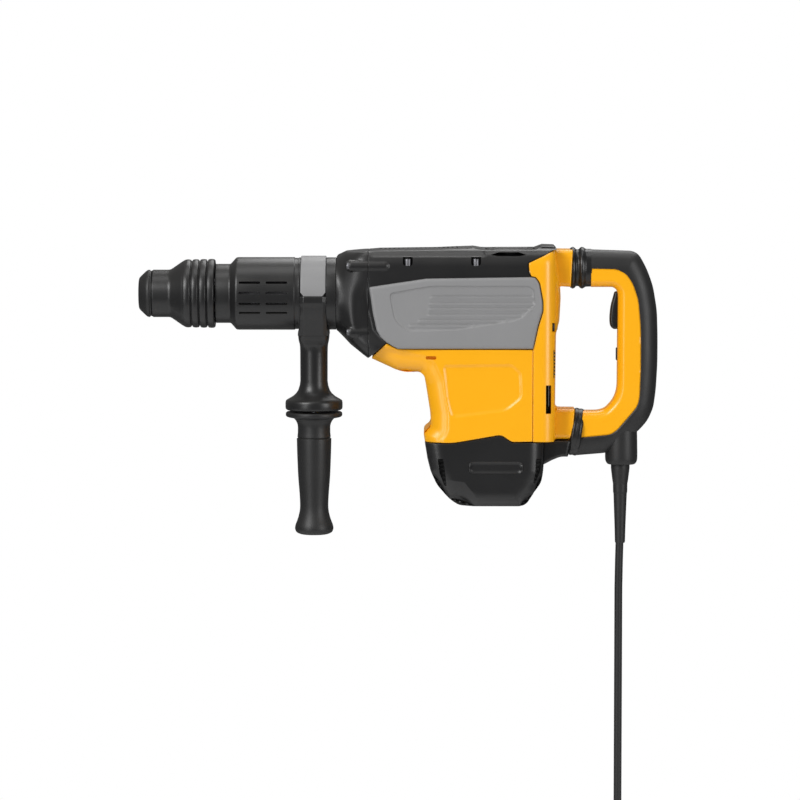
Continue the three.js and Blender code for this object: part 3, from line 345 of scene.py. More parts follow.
for source, socket in ((shade.outputs[0], "Colour"), (dull, "Roughness"),
                       (streaks.outputs["Fac"], "Height")):
    metal_marks.links.new(source, put_out.inputs[socket])


plug_rubber = moulded("plug_rubber", (0.021, 0.021, 0.022), 0.55, grain=500.0, relief=0.05)
plug_back = relief_end - 32
plug_front = plug_back - 32
body_rings = []
for y, half, tall in ((plug_front, 8.6, 6.6), (plug_front + 1.2, 9.8, 7.8), (plug_front + 10, 10, 8),
                      (plug_back - 9, 9.8, 8), (plug_back - 4, 8.2, 7.2), (plug_back, 6.2, 6)):
    lift = lead_floor + 8
    body_rings.append(box_ring((plug_x, lift), half, tall, 3.6, 40, y))
for step in range(9):
    y = plug_back + 1 + step * 3.6
    for offset, share in ((0, 1.0), (0.4, 0.82), (1.6, 0.82), (2.0, 1.0)):
        thick = (6.2 - step * 0.13) * share if step < 8 else 5.2
        body_rings.append(box_ring((plug_x, plug_z + 0.5 - 0.05 * step), thick, thick, 2, 40,
                                   min(y + offset, relief_end)))
lead_plug = loft("mains_plug", body_rings, plug_rubber)
brass = metal("brass", (0.72, 0.52, 0.22), 0.25)
blades = []
blade_spread, blade_half, blade_reach = 6.35, 0.75, 16.9
for side in (-1, 1):
    x = plug_x + side * blade_spread
    blades.append(block(f"blade{side}", (x - blade_half, x + blade_half),
                        (plug_front - blade_reach, plug_front + 2),
                        (plug_z - 2.5, plug_z + 3.9), brass, 0.5))
finished(lead_plug, "rear_handle", "lead", "lead_plug")
plug_blades = finished(joined("plug_blades", *blades), "rear_handle", "tool_steel")

low, high = (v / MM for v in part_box("lead_tie"))
tie_mid = ((low.x + high.x) / 2, (low.z + high.z) / 2)
tie_nylon = moulded("tie_nylon", (0.018, 0.018, 0.019), 0.75, grain=1500.0, relief=0.12)
tie_rings = [
    box_ring(tie_mid, (high.x - low.x) / 2 - inset, (high.z - low.z) / 2 - inset, 12, 64, y)
    for inset, y in ((0.325, low.y), (0, low.y + 0.5), (0, high.y - 0.5), (0.325, high.y),
                     (1.0, high.y), (1.0, low.y))]
count = len(tie_rings[0])
tie_points = [p for ring in tie_rings for p in ring]
tie_faces = [(r * count + i, r * count + (i + 1) % count, after * count + (i + 1) % count,
              after * count + i) for r, after in enumerate((1, 2, 3, 4, 5, 0)) for i in range(count)]
lead_tie = finished(mesh_piece("coil_tie", tie_points, tie_faces, tie_nylon),
                    "rear_handle", "black_housing", "lead_tie")


# ---- Dust cap -----------------------------------------------------------------------------------
# A thick rubber nose that keeps dust out of the tool holder, pushed onto the holder's front end.
# Turned to shape: a flat face, a long bevel, and a groove where it meets the locking sleeve.
def softer(profile, reach, steps=4):
    """A profile of (along, radius) with each corner rounded; a third number is its own reach."""
    out = []
    for i, corner in enumerate(profile):
        point = np.array(corner[:2], float)
        own = corner[2] if len(corner) > 2 else reach
        if i in (0, len(profile) - 1) or own <= 0:
            out.append(tuple(point))
            continue
        ends = []
        for other in (profile[i - 1], profile[i + 1]):
            way = np.array(other[:2], float) - point
            length = max(np.linalg.norm(way), 1e-6)
            ends.append(point + way / length * min(own, length * 0.48))
        for t in np.linspace(0, 1, steps + 1):
            out.append(tuple((1 - t) ** 2 * ends[0] + 2 * t * (1 - t) * point + t * t * ends[1]))
    return out


def turned(name, profile, material, axis="x", at=(0, 0, 0), sides=96, squeeze=1.0, tilt=0.0,
           smooth=40):
    """A closed profile of (along, radius) turned about an axis; squeeze narrows it across Y."""
    closed = [p for i, p in enumerate(profile) if i == 0 or p != profile[i - 1]]
    if closed[0] == closed[-1]:
        closed = closed[:-1]
    points, rows = [], []
    for along, radius in closed:
        row = []
        for i in range(sides if radius > 1e-6 else 1):
            angle = 2 * math.pi * i / sides
            c, s = radius * math.cos(angle), radius * math.sin(angle)
            p = {"x": (along, c * squeeze, s), "z": (c, s * squeeze, along), "y": (c, along, s)}[axis]
            row.append(len(points))
            points.append(p)
        rows.append(row)
    faces = []
    for a, b in zip(rows, rows[1:] + rows[:1]):
        if len(a) == 1 and len(b) == 1:
            continue
        for i in range(sides):
            corners = [a[i % len(a)], a[(i + 1) % len(a)], b[(i + 1) % len(b)], b[i % len(b)]]
            faces.append(tuple(dict.fromkeys(corners)))
    piece = mesh_piece(name, points, faces, material, smooth)
    piece.data.transform(Matrix.Translation(MM * Vector(at)) @ Matrix.Rotation(tilt, 4, "Y"))
    return piece


soft_black = moulded("soft_black_rubber", (0.0095, 0.0095, 0.0098), 0.48, grain=620.0, relief=0.05,
                     patches=0.14, dust=0.07)
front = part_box("dust_cap")[0].x / MM
dust_cap = turned("nose_cap", softer([
    (front, 11), (front, 16.6, 1.5), (front + 1.6, 18.8, 1.5), (front + 9.4, 26.3, 3.5),
    (front + 12.4, 26.5, 0.6), (front + 12.8, 25.2, 0.4), (front + 14.3, 25.2, 0.4),
    (front + 14.6, 25.9, 0.3), (front + 14.6, 16.4, 0), (front + 5.2, 16.4, 0), (front + 5.2, 10.2, 0),
    (front + 1, 10.2, 0.5), (front, 11)], 1.0), soft_black)
finished(dust_cap, "spindle", "rubber_grip", "dust_cap")


# ---- Locking sleeve -----------------------------------------------------------------------------
# The black plastic sleeve that is drawn back to free the tool: a plain front, a cone, and four
# rounded rings for the hand. Turned, with the chamber of the locking bars inside it.
tough_black = moulded("tough_black_plastic", (0.009, 0.009, 0.0094), 0.36, grain=950.0, relief=0.025,
                      patches=0.12, dust=0.1)
sleeve_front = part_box("locking_sleeve")[0].x / MM
rings = []
for i in range(4):
    start = -144.8 + i * 8.75
    middle = start + 4.3
    rings += [(start + 0.2, 36.0, 0.4), (start + 0.9, 37.5 + 0.22 * i, 1.0),
              (middle, 38.25 + 0.14 * i, 3.0), (start + 7.7, 37.6 + 0.22 * i, 1.0),
              (start + 8.4, 36.0, 0.4)]
rings[0] = (-145.2, 36.6, 1.0)
locking_sleeve = turned("locking_sleeve_body", softer([
    (sleeve_front, 16.4, 0), (sleeve_front, 25.4, 0.3), (sleeve_front + 0.9, 26.5, 0.8),
    (-160.2, 26.5, 2.5), (-146.6, 35.9, 1.5), *rings, (-110.6, 38.0, 0.5), (-110.2, 37.2, 0.3),
    (-110.2, 33.7, 0), (-130, 33.7, 0), (-130, 16.4, 0), (-134, 16.4, 0), (-134, 21, 0),
    (-166, 21, 0), (-166, 16.4, 0), (sleeve_front, 16.4)], 0.8), tough_black)
finished(locking_sleeve, "release_sleeve", "black_housing", "locking_sleeve")


# ---- Front barrel -------------------------------------------------------------------------------
# The vented black tube in front of the clamp, moulded in glass-filled nylon. It is turned, and the
# vents on both sides are cut through its wall in two columns.
def cut(piece, *tools):
    """Cuts tools, which are closed pieces, out of a piece, and removes them."""
    tool = joined("tool", *tools) if len(tools) > 1 else tools[0]
    boolean = piece.modifiers.new("cut", "BOOLEAN")
    boolean.operation, boolean.solver, boolean.object = "DIFFERENCE", "MANIFOLD", tool
    applied(piece)
    bpy.data.objects.remove(tool)
    only = piece.data.materials[0]
    piece.data.materials.clear()
    piece.data.materials.append(only)
    piece.data.polygons.foreach_set("material_index", [0] * len(piece.data.polygons))
    return shaded(piece)


def prism(outline, y0, y1):
    """A closed (x, z) outline carried straight across from y0 to y1, to cut with."""
    return loft("prism", [[(x, y, z) for x, z in outline] for y in (y0, y1)])


def drill(low, high, radius, axis="x", at=(0, 0, 0), sides=96):
    """A cylinder from low to high along its axis, to cut with."""
    return turned("drill", [(low, 0), (low, radius), (high, radius), (high, 0)], None, axis, at, sides)


def slot_tool(x0, x1, radius, angle, height, depth=7):
    """A round-ended slot through a tube's wall, at an angle around X from +Y."""
    rings = []
    for reach in (radius - depth, radius + 3):
        ring = []
        for i in range(16):
            turn = 2 * math.pi * (i + 0.5) / 16
            end = x1 - height / 2 if math.cos(turn) > 0 else x0 + height / 2
            a = end + height / 2 * math.cos(turn)
            b = height / 2 * math.sin(turn)
            c, s = math.cos(angle), math.sin(angle)
            ring.append((a, reach * c - b * s, reach * s + b * c))
        rings.append(ring)
    return loft("slot", rings)


barrel_radius, vent_width = 40.6, 2.7
vent_columns, vent_angles = ((-82.5, -58.5), (-52.5, -28.5)), (-29, -13.5, 4, 20.5)
barrel = turned("front_barrel", softer([
    (-109.8, 29, 0), (-109.8, 31.6, 0), (-109, 33, 0.6), (-93.5, 33, 1.0), (-92.3, 33.6, 0.5),
    (-86.4, 40.2, 1.5), (-84.5, barrel_radius, 0.8), (-21.4, barrel_radius, 0.5), (-20.6, 39.8, 0.4),
    (-16.2, 39.8, 0.3), (-16.2, 40.3, 0.3), (-14.5, 40.3, 0.3), (-14.5, 38.5, 0), (14.5, 38.5, 0),
    (14.5, 40.4, 0.4), (25.2, 40.4, 0.4), (25.2, 35.5, 0), (-87.5, 35.5, 0), (-87.5, 29, 0),
    (-109.8, 29)], 0.6), tough_black, sides=128)
slots = []
for x0, x1 in vent_columns:
    for degrees in vent_angles:
        for angle in (degrees, 180 - degrees):
            slots.append(slot_tool(x0, x1, barrel_radius, math.radians(angle), vent_width))
finished(cut(barrel, *slots), "housing", "black_housing", "barrel_cover")


# ---- Side-handle clamp --------------------------------------------------------------------------
# A grey strap over the barrel and a black cradle under it, drawn together by the handle's bolt.
# The strap ends in two chamfered corners that sit on the cradle.
grey_plastic = moulded("grey_plastic", (0.235, 0.235, 0.238), 0.46, grain=1000.0, relief=0.02,
                       drift=0.08, patches=0.08, dust=0.1)
strap = turned("clamp_strap", softer([
    (-14, 39.3, 0), (-14, 41.6, 0.6), (-13.2, 42.2, 0.6), (13.2, 42.2, 0.6), (14, 41.6, 0.6),
    (14, 39.3, 0), (-14, 39.3)], 0.6), grey_plastic, sides=128)
for side in (-1, 1):
    cut(strap, prism([(side * 9.6, -1.5), (side * 20, -1.5), (side * 20, 6), (side * 14.6, 4.4)], -60, 60))
cut(strap, block("under", (-40, 40), (-60, 60), (-60, -0.7)))
finished(strap, "side_handle", "grey_panel", "collar_strap")


def spaced(line, step, closed=True):
    """The same line with points at most a step apart."""
    ends = np.roll(line, -1, 0) if closed else line[1:]
    out = []
    for a, b in zip(line, ends):
        parts = max(1, math.ceil(np.linalg.norm(b - a) / step))
        out += [a + (b - a) * i / parts for i in range(parts)]
    return np.array(out if closed else out + [line[-1]])


def outline_of(corners, steps=6):
    """An outline from (x, z) corners; a corner with a third number is rounded over that reach."""
    out = []
    for i, corner in enumerate(corners):
        p = np.array(corner[:2], float)
        if len(corner) < 3:
            out.append(p)
            continue
        ends = []
        for other in (corners[i - 1], corners[(i + 1) % len(corners)]):
            way = np.array(other[:2], float) - p
            ends.append(p + way / np.linalg.norm(way) * min(corner[2], np.linalg.norm(way) * 0.48))
        out += [(1 - t) ** 2 * ends[0] + 2 * t * (1 - t) * p + t * t * ends[1]
                for t in np.linspace(0, 1, steps + 1)]
    return np.array(out)


def distance(p, line, closed=True):
    """How far each of many points is from a line."""
    line = np.array([q[:2] for q in line], float)
    ends = np.roll(line, -1, 0) if closed else line[1:]
    best = np.full(len(p), 1e9)
    for a, b in zip(line, ends):
        run = b - a
        t = np.clip(((p - a) @ run) / max(run @ run, 1e-9), 0, 1)
        best = np.minimum(best, np.linalg.norm(p - a - t[:, None] * run, axis=1))
    return best


def inside(p, line):
    odd = np.zeros(len(p), bool)
    for (x0, z0), (x1, z1) in zip(line, np.roll(line, -1, 0)):
        if z0 != z1:
            odd ^= ((z0 > p[:, 1]) != (z1 > p[:, 1])) & (
                p[:, 0] < (x1 - x0) * (p[:, 1] - z0) / (z1 - z0) + x0)
    return odd


def depth_in(p, line):
    """How far each point lies inside an outline: negative outside it."""
    return np.where(inside(p, line), 1, -1) * distance(p, line)


def rise(depth, width):
    """0 to 1 across a line, over that width."""
    t = np.clip(depth / width + 0.5, 0, 1)
    return t * t * (3 - 2 * t)


def rounding(depth, radius, drop=None):
    """How far a surface falls away near its edge: a quarter ellipse, radius wide and drop deep."""
    t = 1 - np.clip(depth / radius, 0, 1)
    return (drop or radius) * (1 - np.sqrt(np.clip(1 - t * t, 0, 1)))


def filled(flat, rim, outline):
    """Triangles that fill an outline through all the given points, the rim's points first."""
    links = [(i, (i + 1) % rim) for i in range(rim)]
    verts, _, tris, *_ = delaunay_2d_cdt([Vector(q) for q in flat], links, [], 0, 1e-6, False)
    at = np.array([tuple(v) for v in verts])
    within = inside(at[np.array(tris)].mean(1), outline)
    return at, [tuple(t) for t, ok in zip(tris, within) if ok]


def moulding(name, corners, height, material, step=1.5, rows=(0.3, 1.1, 2.4, 4.2), lines=(), side=0,
             inner=0.15, seam=0.5, smooth=38):
    """A moulded body seen from its side: its outline in X and Z, and how far it reaches out in Y.
    side 0 is a whole body, the same on both sides; -1 and 1 are the left and right half of one,
    from 'inner' outwards. Lines are (points, width, closed) where its surface folds."""
    outline = outline_of(corners)
    edge = spaced(outline, step)
    before, after = np.roll(edge, 1, 0), np.roll(edge, -1, 0)
    run = after - before
    turn = 1 if np.sum(edge[:, 0] * after[:, 1] - after[:, 0] * edge[:, 1]) > 0 else -1
    inward = turn * np.stack([-run[:, 1], run[:, 0]], 1) / np.linalg.norm(run, axis=1)[:, None]
    inner_points = []
    for row in rows:
        moved = edge + inward * row
        ok = inside(moved, outline) & (distance(moved, outline) > 0.95 * row)
        inner_points.append(moved[ok])
    folds = []
    for points, width, closed in lines:
        fold = spaced(np.array([q[:2] for q in points], float), step, closed)
        ends = np.roll(fold, -1, 0) - np.roll(fold, 1, 0)
        if not closed:
            ends[0], ends[-1] = fold[1] - fold[0], fold[-1] - fold[-2]
        across = np.stack([-ends[:, 1], ends[:, 0]], 1)
        across /= np.maximum(np.linalg.norm(across, axis=1), 1e-9)[:, None]
        for share in (-0.5, 0, 0.5):
            moved = fold + across * width * share
            keep = inside(moved, outline) & (distance(moved, outline) > rows[-1] * 0.6)
            inner_points.append(moved[keep])
        folds.append((fold, width, closed))
    low, high = outline.min(0), outline.max(0)
    grid = np.stack(np.meshgrid(np.arange(low[0], high[0], step), np.arange(low[1], high[1], step)),
                    -1).reshape(-1, 2)
    grid = grid[inside(grid, outline)]
    grid = grid[distance(grid, outline) > rows[-1] + 0.5 * step]
    for fold, width, closed in folds:
        grid = grid[distance(grid, fold, closed) > width / 2 + 0.5 * step]
    others = np.concatenate([*inner_points, grid])
    merge = 0.45
    cells = np.unique(np.round(others / merge).astype(int), axis=0, return_index=True)[1]
    others = others[np.sort(cells)]
    at, tris = filled(np.concatenate([edge, others]), len(edge), edge)
    reach = height(at[:, 0], at[:, 1], at, distance(at, outline))
    count = len(at)
    once = dict.fromkeys(pair for tri in tris for pair in zip(tri, tri[1:] + tri[:1]))
    rim = {a: b for a, b in once if (b, a) not in once}
    faces = list(tris)
    if side == 0:
        points = [(x, -y, z) for (x, z), y in zip(at, reach)] + [(x, y, z) for (x, z), y in zip(at, reach)]
        faces += [tuple(i + count for i in reversed(t)) for t in tris]
        faces += [(b, a, a + count, b + count) for a, b in rim.items()]
        return mesh_piece(name, points, faces, material, smooth)
    start = next(iter(rim))
    loop = [start]
    while rim[loop[-1]] != start:
        loop.append(rim[loop[-1]])
    ring = at[loop]
    run = np.roll(ring, -1, 0) - np.roll(ring, 1, 0)
    inward = np.stack([-run[:, 1], run[:, 0]], 1) / np.maximum(np.linalg.norm(run, axis=1), 1e-9)[:, None]
    if not inside(ring[:1] + inward[:1] * 0.2, outline)[0]:
        inward = -inward
    points = [(x, side * y, z) for (x, z), y in zip(at, reach)]
    base = len(points)
    low_reach = np.minimum(reach[loop] - 0.1, inner + seam)
    points += [(x, side * y, z) for (x, z), y in zip(ring, low_reach)]
    points += [(x, side * inner, z) for x, z in ring + inward * seam * 0.6]
    n = len(loop)
    for i in range(n):
        j = (i + 1) % n
        faces.append((loop[j], loop[i], base + i, base + j))
        faces.append((base + j, base + i, base + n + i, base + n + j))
    cap = ring + inward * seam * 0.6
    back, closing = filled(cap, n, cap)
    middle = len(points)
    points += [(x, side * inner, z) for x, z in back]
    faces += [tuple(middle + i for i in t) for t in closing]
    return mesh_piece(name, points, faces, material, smooth)


cradle_outline = [(-17.4, -46), (17.4, -46), (17.2, -41.5, 2), (15.8, -37, 3), (15.6, -1, 1.2),
                  (-15.6, -1, 1.2), (-15.8, -37, 3), (-17.2, -41.5, 2)]


def cradle_reach(x, z, p, depth):
    round_side = np.sqrt(np.maximum(44.2 ** 2 - z ** 2, 0)) - 1.5
    reach = np.maximum(round_side, np.interp(z, [-46, -8], [24, 43.4]))
    reach -= 3.4 * np.clip((np.abs(x) - 10.6) / 5.4, 0, 1)
    return np.minimum(reach, 43.4) - rounding(np.where(z < -44, 9, depth), 0.8)


cradle = moulding("clamp_cradle_body", cradle_outline, cradle_reach, tough_black, step=1.2,
                  rows=(0.2, 0.9, 1.9),
                  lines=[([(s * 10.6, -44), (s * 10.6, -3)], 1.6, False) for s in (-1, 1)])
cut(cradle, drill(-14.7, 14.7, 39.3))
cut(cradle, drill(-30, 30, 41.0))
bolt_hole = 5.3
cut(cradle, drill(-80, 0, bolt_hole, "z", sides=32))
finished(cradle, "side_handle", "black_housing", "clamp_cradle")


# ---- Side handle --------------------------------------------------------------------------------
# The stem is hard black plastic, from an oblong foot under the cradle to a round neck and a flange.
# The grip below it is soft rubber over a hard core; turning it tightens the clamp's bolt.
stem_rings = []
stem_places = [(-46.2, 17.4, 23.4, 5), (-49, 17.2, 22.4, 5), (-52.5, 16.8, 20.4, 4.4), (-56, 16.0, 17.4, 3),
               (-59.5, 15.6, 15.9, 2.2), (-66, 15.4, 15.4, 2), (-98, 15.3, 15.3, 2),
               (-103, 16.0, 16.0, 2), (-108.5, 17.8, 17.8, 2), (-112, 20.2, 20.2, 2),
               (-115, 23.6, 23.6, 2), (-117.4, 27.6, 27.6, 2), (-119, 30.4, 30.4, 2),
               (-120.2, 31.6, 31.6, 2), (-122.5, 32, 32, 2), (-127.6, 32, 32, 2),
               (-129.4, 31.5, 31.5, 2), (-130.3, 30.2, 30.2, 2)]
for z, half_x, half_y, power in stem_places:
    stem_rings.append(box_ring((0, 0), half_x, half_y, power, 72, z, "z"))
stem = loft("handle_stem", stem_rings, tough_black)
cut(stem, drill(-140, -40, bolt_hole, "z", sides=32))
finished(stem, "side_handle", "black_housing", "side_handle_stem")

grip_low, grip_high = (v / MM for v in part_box("side_grip"))
grip_profile = [
    (grip_high.z, bolt_hole, 0), (grip_high.z, 30.6, 0), (-133.7, 31.6, 0.8), (-136.9, 31.7, 1.2),
    (-138.3, 30, 1.2), (-139.7, 22.4, 2.5), (-146.2, 18.1, 5), (-156, 18.2, 2), (-160.9, 18.7, 0.6),
    (-161.5, 18.0, 0.3), (-162.0, 18.0, 0.3), (-162.5, 19.4, 0.5), (-180, 19.0, 6), (-205, 18.0, 8),
    (-228, 16.1, 8), (-242, 15.7, 6), (-252, 17.9, 5), (-260.5, 21.3, 3), (-264.5, 21.7, 1.5),
    (-268.2, 20.2, 1.5), (grip_low.z, 15.5, 2), (grip_low.z, 0, 0), (-170, 0, 0), (-170, bolt_hole, 0),
    (grip_high.z, bolt_hole)]
side_grip = turned("side_handle_grip", softer(grip_profile, 1.0, 6), soft_black, axis="z", sides=112)
finished(side_grip, "side_grip", "rubber_grip", "side_grip")


# ---- Nose cover ---------------------------------------------------------------------------------
# The black cover in front of the gears: round where it holds the barrel, and opening out to the
# housing's full section at the seam. Two screw bosses stand out on each side.
gear_half = 49.0
seam_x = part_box("gear_nose_cover")[1].x / MM
nose_corners = [
    (25.6, -40.8), (27.4, -42.2), (41, -55.1), (61.1, -69.6), (61.1, 48.2), (36, 47.6, 4),
    (27.4, 43.6), (25.6, 41.3)]
boss_z, boss_half = 33.0, 47.3
low_boss_z, low_boss_half = -40.5, 42.5
under_line = [(20, -36), (61.1, -71), (92.4, -84)]


def boss_rise(reach, x, z, centre_z, half, front_x, rear_x, radius):
    """Adds a lying boss with rounded ends to a side's reach."""
    end = np.minimum(x - front_x, rear_x - x)
    shrink = np.clip(end / (radius * 0.8), 0, 1)
    tall = radius * np.sqrt(np.clip(1 - (1 - shrink) ** 2, 0, 1))
    arch = tall ** 2 - (z - centre_z) ** 2
    return np.where(arch > 0, np.maximum(reach, half - 2.5 + np.sqrt(np.maximum(arch, 0))), reach)


def gear_section(x, z, p):
    """The housing's own section: flat sides, a rounded top, and a soft hollow before the panel."""
    reach = gear_half - rounding(np.maximum(52 - z, 0), 19, 17)
    reach = reach - rounding(distance(p, under_line, closed=False), 20, 16)
    panel_front = np.interp(z, [-51.6, -37.8, -18.3, 10], [82, 70.8, 66.6, 62.6])
    hollow = rise(x - 47, 16) * rise(26 - np.abs(z + 20), 26) * rise(panel_front - x - 1.5, 7)
    return reach - 3.4 * hollow


def nose_reach(x, z, p, depth):
    share = np.clip((x - 25.6) / 34, 0, 1)
    share = share * share * (3 - 2 * share)
    top = np.interp(x, [25.6, 36, 61.3], [41.4, 47.6, 48.2])
    bottom = np.interp(x, [25.6, 41, 61.3], [-40.8, -55.1, -69.8])
    middle, half = (top + bottom) / 2, (top - bottom) / 2
    power = 2 + 2.4 * share
    across = np.clip(np.abs(z - middle) / half, 0, 1)
    around = (40.8 + 6 * share) * (1 - across ** power) ** (1 / power)
    reach = around * (1 - share) + gear_section(x, z, p) * share
    reach = boss_rise(reach, x, z, boss_z, boss_half, 36.7, 90, 6.5)
    reach = boss_rise(reach, x, z, low_boss_z, low_boss_half, 36.7, 66, 7)
    return np.maximum(reach, 3.0)


boss_lines = [([(38, boss_z + s * 6.3), (60.8, boss_z + s * 6.3)], 1.2, False) for s in (-1, 1)]
boss_lines += [([(38, low_boss_z + s * 6.8), (60.8, low_boss_z + s * 6.8)], 1.2, False)
               for s in (-1, 1)]
nose = moulding("nose_cover", nose_corners, nose_reach, tough_black, step=1.2,
                rows=(0.15, 0.6, 1.4, 2.6), lines=boss_lines)
cut(nose, drill(20, 50, 35.6))
cut(nose, block("inside", (44, 70), (-39, 39), (-52, 38)))
finished(nose, "housing", "black_housing", "gear_nose_cover")


def screw(name, at, axis, radius=4.2, depth=3.0):
    """A cap screw's head with a six-lobed socket, its top at 'at', facing along 'axis'."""
    rings = []
    lobes = 36
    for along, size, lobed in ((-depth, radius, 0), (-0.5, radius, 0), (-0.15, radius - 0.15, 0),
                               (0, radius - 0.55, 0), (0, radius * 0.56, 1), (-1.8, radius * 0.52, 1)):
        ring = []
        for i in range(lobes):
            turn = 2 * math.pi * i / lobes
            r = size * (1 + 0.1 * math.cos(6 * turn) * lobed)
            ring.append((r * math.cos(turn), r * math.sin(turn), along))
        rings.append(ring)
    head = loft(name, rings, screw_steel, 30)
    facing = Vector(axis).to_track_quat("Z", "Y").to_matrix().to_4x4()
    head.data.transform(Matrix.Translation(MM * Vector(at)) @ facing)
    return head


screw_steel = metal("screw_steel", (0.16, 0.16, 0.17), 0.38)
boss_screws = []
for side in (-1, 1):
    boss_screws.append(screw("boss_screw", (37.6, side * 47.6, boss_z), (-1, 0, 0), 3.9))
    boss_screws.append(screw("boss_screw", (37.6, side * 43, low_boss_z), (-1, 0, 0), 4.0))
finished(joined("nose_screws", *boss_screws), "housing", "dark_steel")


# ---- Gear housing -------------------------------------------------------------------------------
# The long black housing of the gears and crank, moulded in glass-filled nylon, with a rounded top.
# It has grip ribs across its top, two screw windows a side, and a round well for the mode dial.
rear_edge = [(238.5, 33.5), (239.6, 27), (241.6, 21.3), (246.7, 20.3), (250.9, 14.3), (254.5, -6.3),
             (254.5, -16.5), (249.3, -33.7), (244.2, -58.2)]
gear_corners = [
    (seam_x + 0.3, 48.2), (73.6, 49.4), (136.6, 50.3), (164.4, 51.6), (178.1, 52.3), (186, 50.6),
    (191.9, 50.2), (219.3, 50.4), (246.7, 50.6), (251.9, 53), (255.4, 54.1), (268.4, 53.7, 1.2),
    (270.5, 51.2), (266.3, 50.4), (257, 45.4), (239.2, 37, 2), *rear_edge,
    (94.1, -58.2), (82, -51.7), (seam_x + 0.3, -69.6)]
dial_x, dial_radius = 219.3, 27.4


def gear_reach(x, z, p, depth):
    reach = gear_section(x, z, p) - 1.6 * rise(z - 43.8, 1.2) * rise(190 - x, 3) * rise(x - 66, 6)
    reach = boss_rise(reach, x, z, boss_z, boss_half, 20, 86, 6.5)
    reach = boss_rise(reach, x, z, low_boss_z, low_boss_half, 20, 66, 7)
    reach -= rounding(depth, 0.5)
    return np.maximum(reach, 2)


gear_lines = [([(62, boss_z + s * 6.3), (84, boss_z + s * 6.3)], 1.2, False) for s in (-1, 1)]
gear_lines += [([(63, 43.8), (188, 43.8)], 1.2, False)]
gear = moulding("gear_housing_body", gear_corners, gear_reach, tough_black, step=1.5,
                rows=(0.2, 0.7, 1.5), lines=gear_lines)
cut(gear, drill(44.6, 80, dial_radius + 0.9, "z", at=(dial_x, 0, 0)))
slit = outline_of([(196.5, 45.4, 1), (206, 43.9), (228, 43.9), (237, 45.4, 1), (228, 48.2), (206, 48.2)])
cut(gear, prism(slit, -70, 70))
cut(gear, block("inside", (50, 236), (-37, 37), (-54, 38)))
window_places, window_screws = (105.3, 180.8), []
for x in window_places:
    for side in (-1, 1):
        mouth = outline_of([(x - 5.4, 33.4, 3.5), (x + 5.4, 33.4, 3.5), (x + 5.4, 43.2, 1.2),
                            (x - 5.4, 43.2, 1.2)])
        cut(gear, prism(mouth, side * (gear_half - 10.5), side * (gear_half + 20)))
        window_screws.append(screw("window_screw", (x, side * (gear_half - 5.2), 41),
                                   (0, 0, 1), 3.9, 8.5))
rib_spacing, groove_width, groove_half = 5, 2, 25
ribs = [block("groove", (74 + rib_spacing * i, 74 + groove_width + rib_spacing * i),
              (-groove_half, groove_half), (48.9 + 0.09 * i, 60)) for i in range(18)]
cut(gear, *ribs)
finished(gear, "housing", "black_housing", "gear_housing")
finished(joined("window_screws", *window_screws), "housing", "dark_steel")


# ---- Mode dial ----------------------------------------------------------------------------------
# The big knob on top that chooses drilling or chipping, black plastic with a bar grip across it.
# Its cap is slightly domed, its rim has finger notches, and it turns in the housing's well.
dial_low, dial_high = (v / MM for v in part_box("mode_dial"))
dial = turned("mode_dial_cap", softer([
    (dial_low.z, 0, 0), (dial_low.z, 23.4, 0), (47.4, 23.4, 0), (47.6, 26.8, 0.4), (49.4, 27.3, 0.6),
    (50.6, 25.4, 1.4), (51.0, 14, 6), (51.1, 0)], 0.8), tough_black, axis="z", at=(dial_x, 0, 0))
grip_rings = []
for z, half_x, half_y in ((47.5, 21, 6.4), (50.6, 20.6, 5.6), (51.5, 19.8, 4.9), (dial_high.z, 18.4, 3.6)):
    grip_rings.append(box_ring((dial_x, 0), half_x, half_y, 3.4, 48, z, "z"))
dial = joined("mode_dial_knob", dial, loft("bar", grip_rings, tough_black))
finished(dial, "mode_dial", "black_housing", "mode_dial")


# ---- Side panels --------------------------------------------------------------------------------
# A grey cover on each side, moulded apart and clipped over the gear housing. A shallow field with
# five ribs of grip lines is sunk into it, with soft shoulders all round.
panel_corners = [
    (62.6, 10.0, 2), (66.6, -18.3), (70.8, -37.8), (75.5, -45.5), (82.2, -51.6), (94.2, -58.4),
    (244.0, -58.4, 0.8), (249.1, -33.7), (254.3, -16.5), (254.3, -6.3), (250.6, 14.2, 3),
    (246.5, 20.2, 2), (241.4, 21.1), (126.0, 19.4)]
field = outline_of([
    (84.5, 3.6, 5), (96, 5.7, 3), (130.1, 11.8, 6), (239.7, 11.8, 4), (245.6, 7.5, 3),
    (246.9, -9.7, 5), (229.6, -27.2, 10), (157.6, -38.2, 8), (104.4, -39.4, 7), (90.2, -27.2, 8)])
grip_lines = [((131, -1.9), (243, -1.9)), ((130, -8.8), (244, -8.8)), ((130, -14.8), (242, -14.8)),
              ((128, -21.7), (232, -21.7)), ((118, -28), (214, -28)), ((107.5, -33.4), (178, -33.4))]
panel_base = gear_half + 0.3


def panel_reach(x, z, p, depth):
    reach = panel_base + 5.6 - rounding(depth, 3.2, 2.8)
    reach -= 1.8 * rise(depth_in(p, field) - 0.8, 1.8)
    for a, b in grip_lines:
        away = distance(p, [a, b], closed=False)
        reach += 0.6 * (rise(1.5 - away, 0.9) - 0.8 * rise(0.6 - np.abs(z - a[1] - 2.1), 0.8)
                         * (x > a[0]) * (x < b[0]))
    return reach


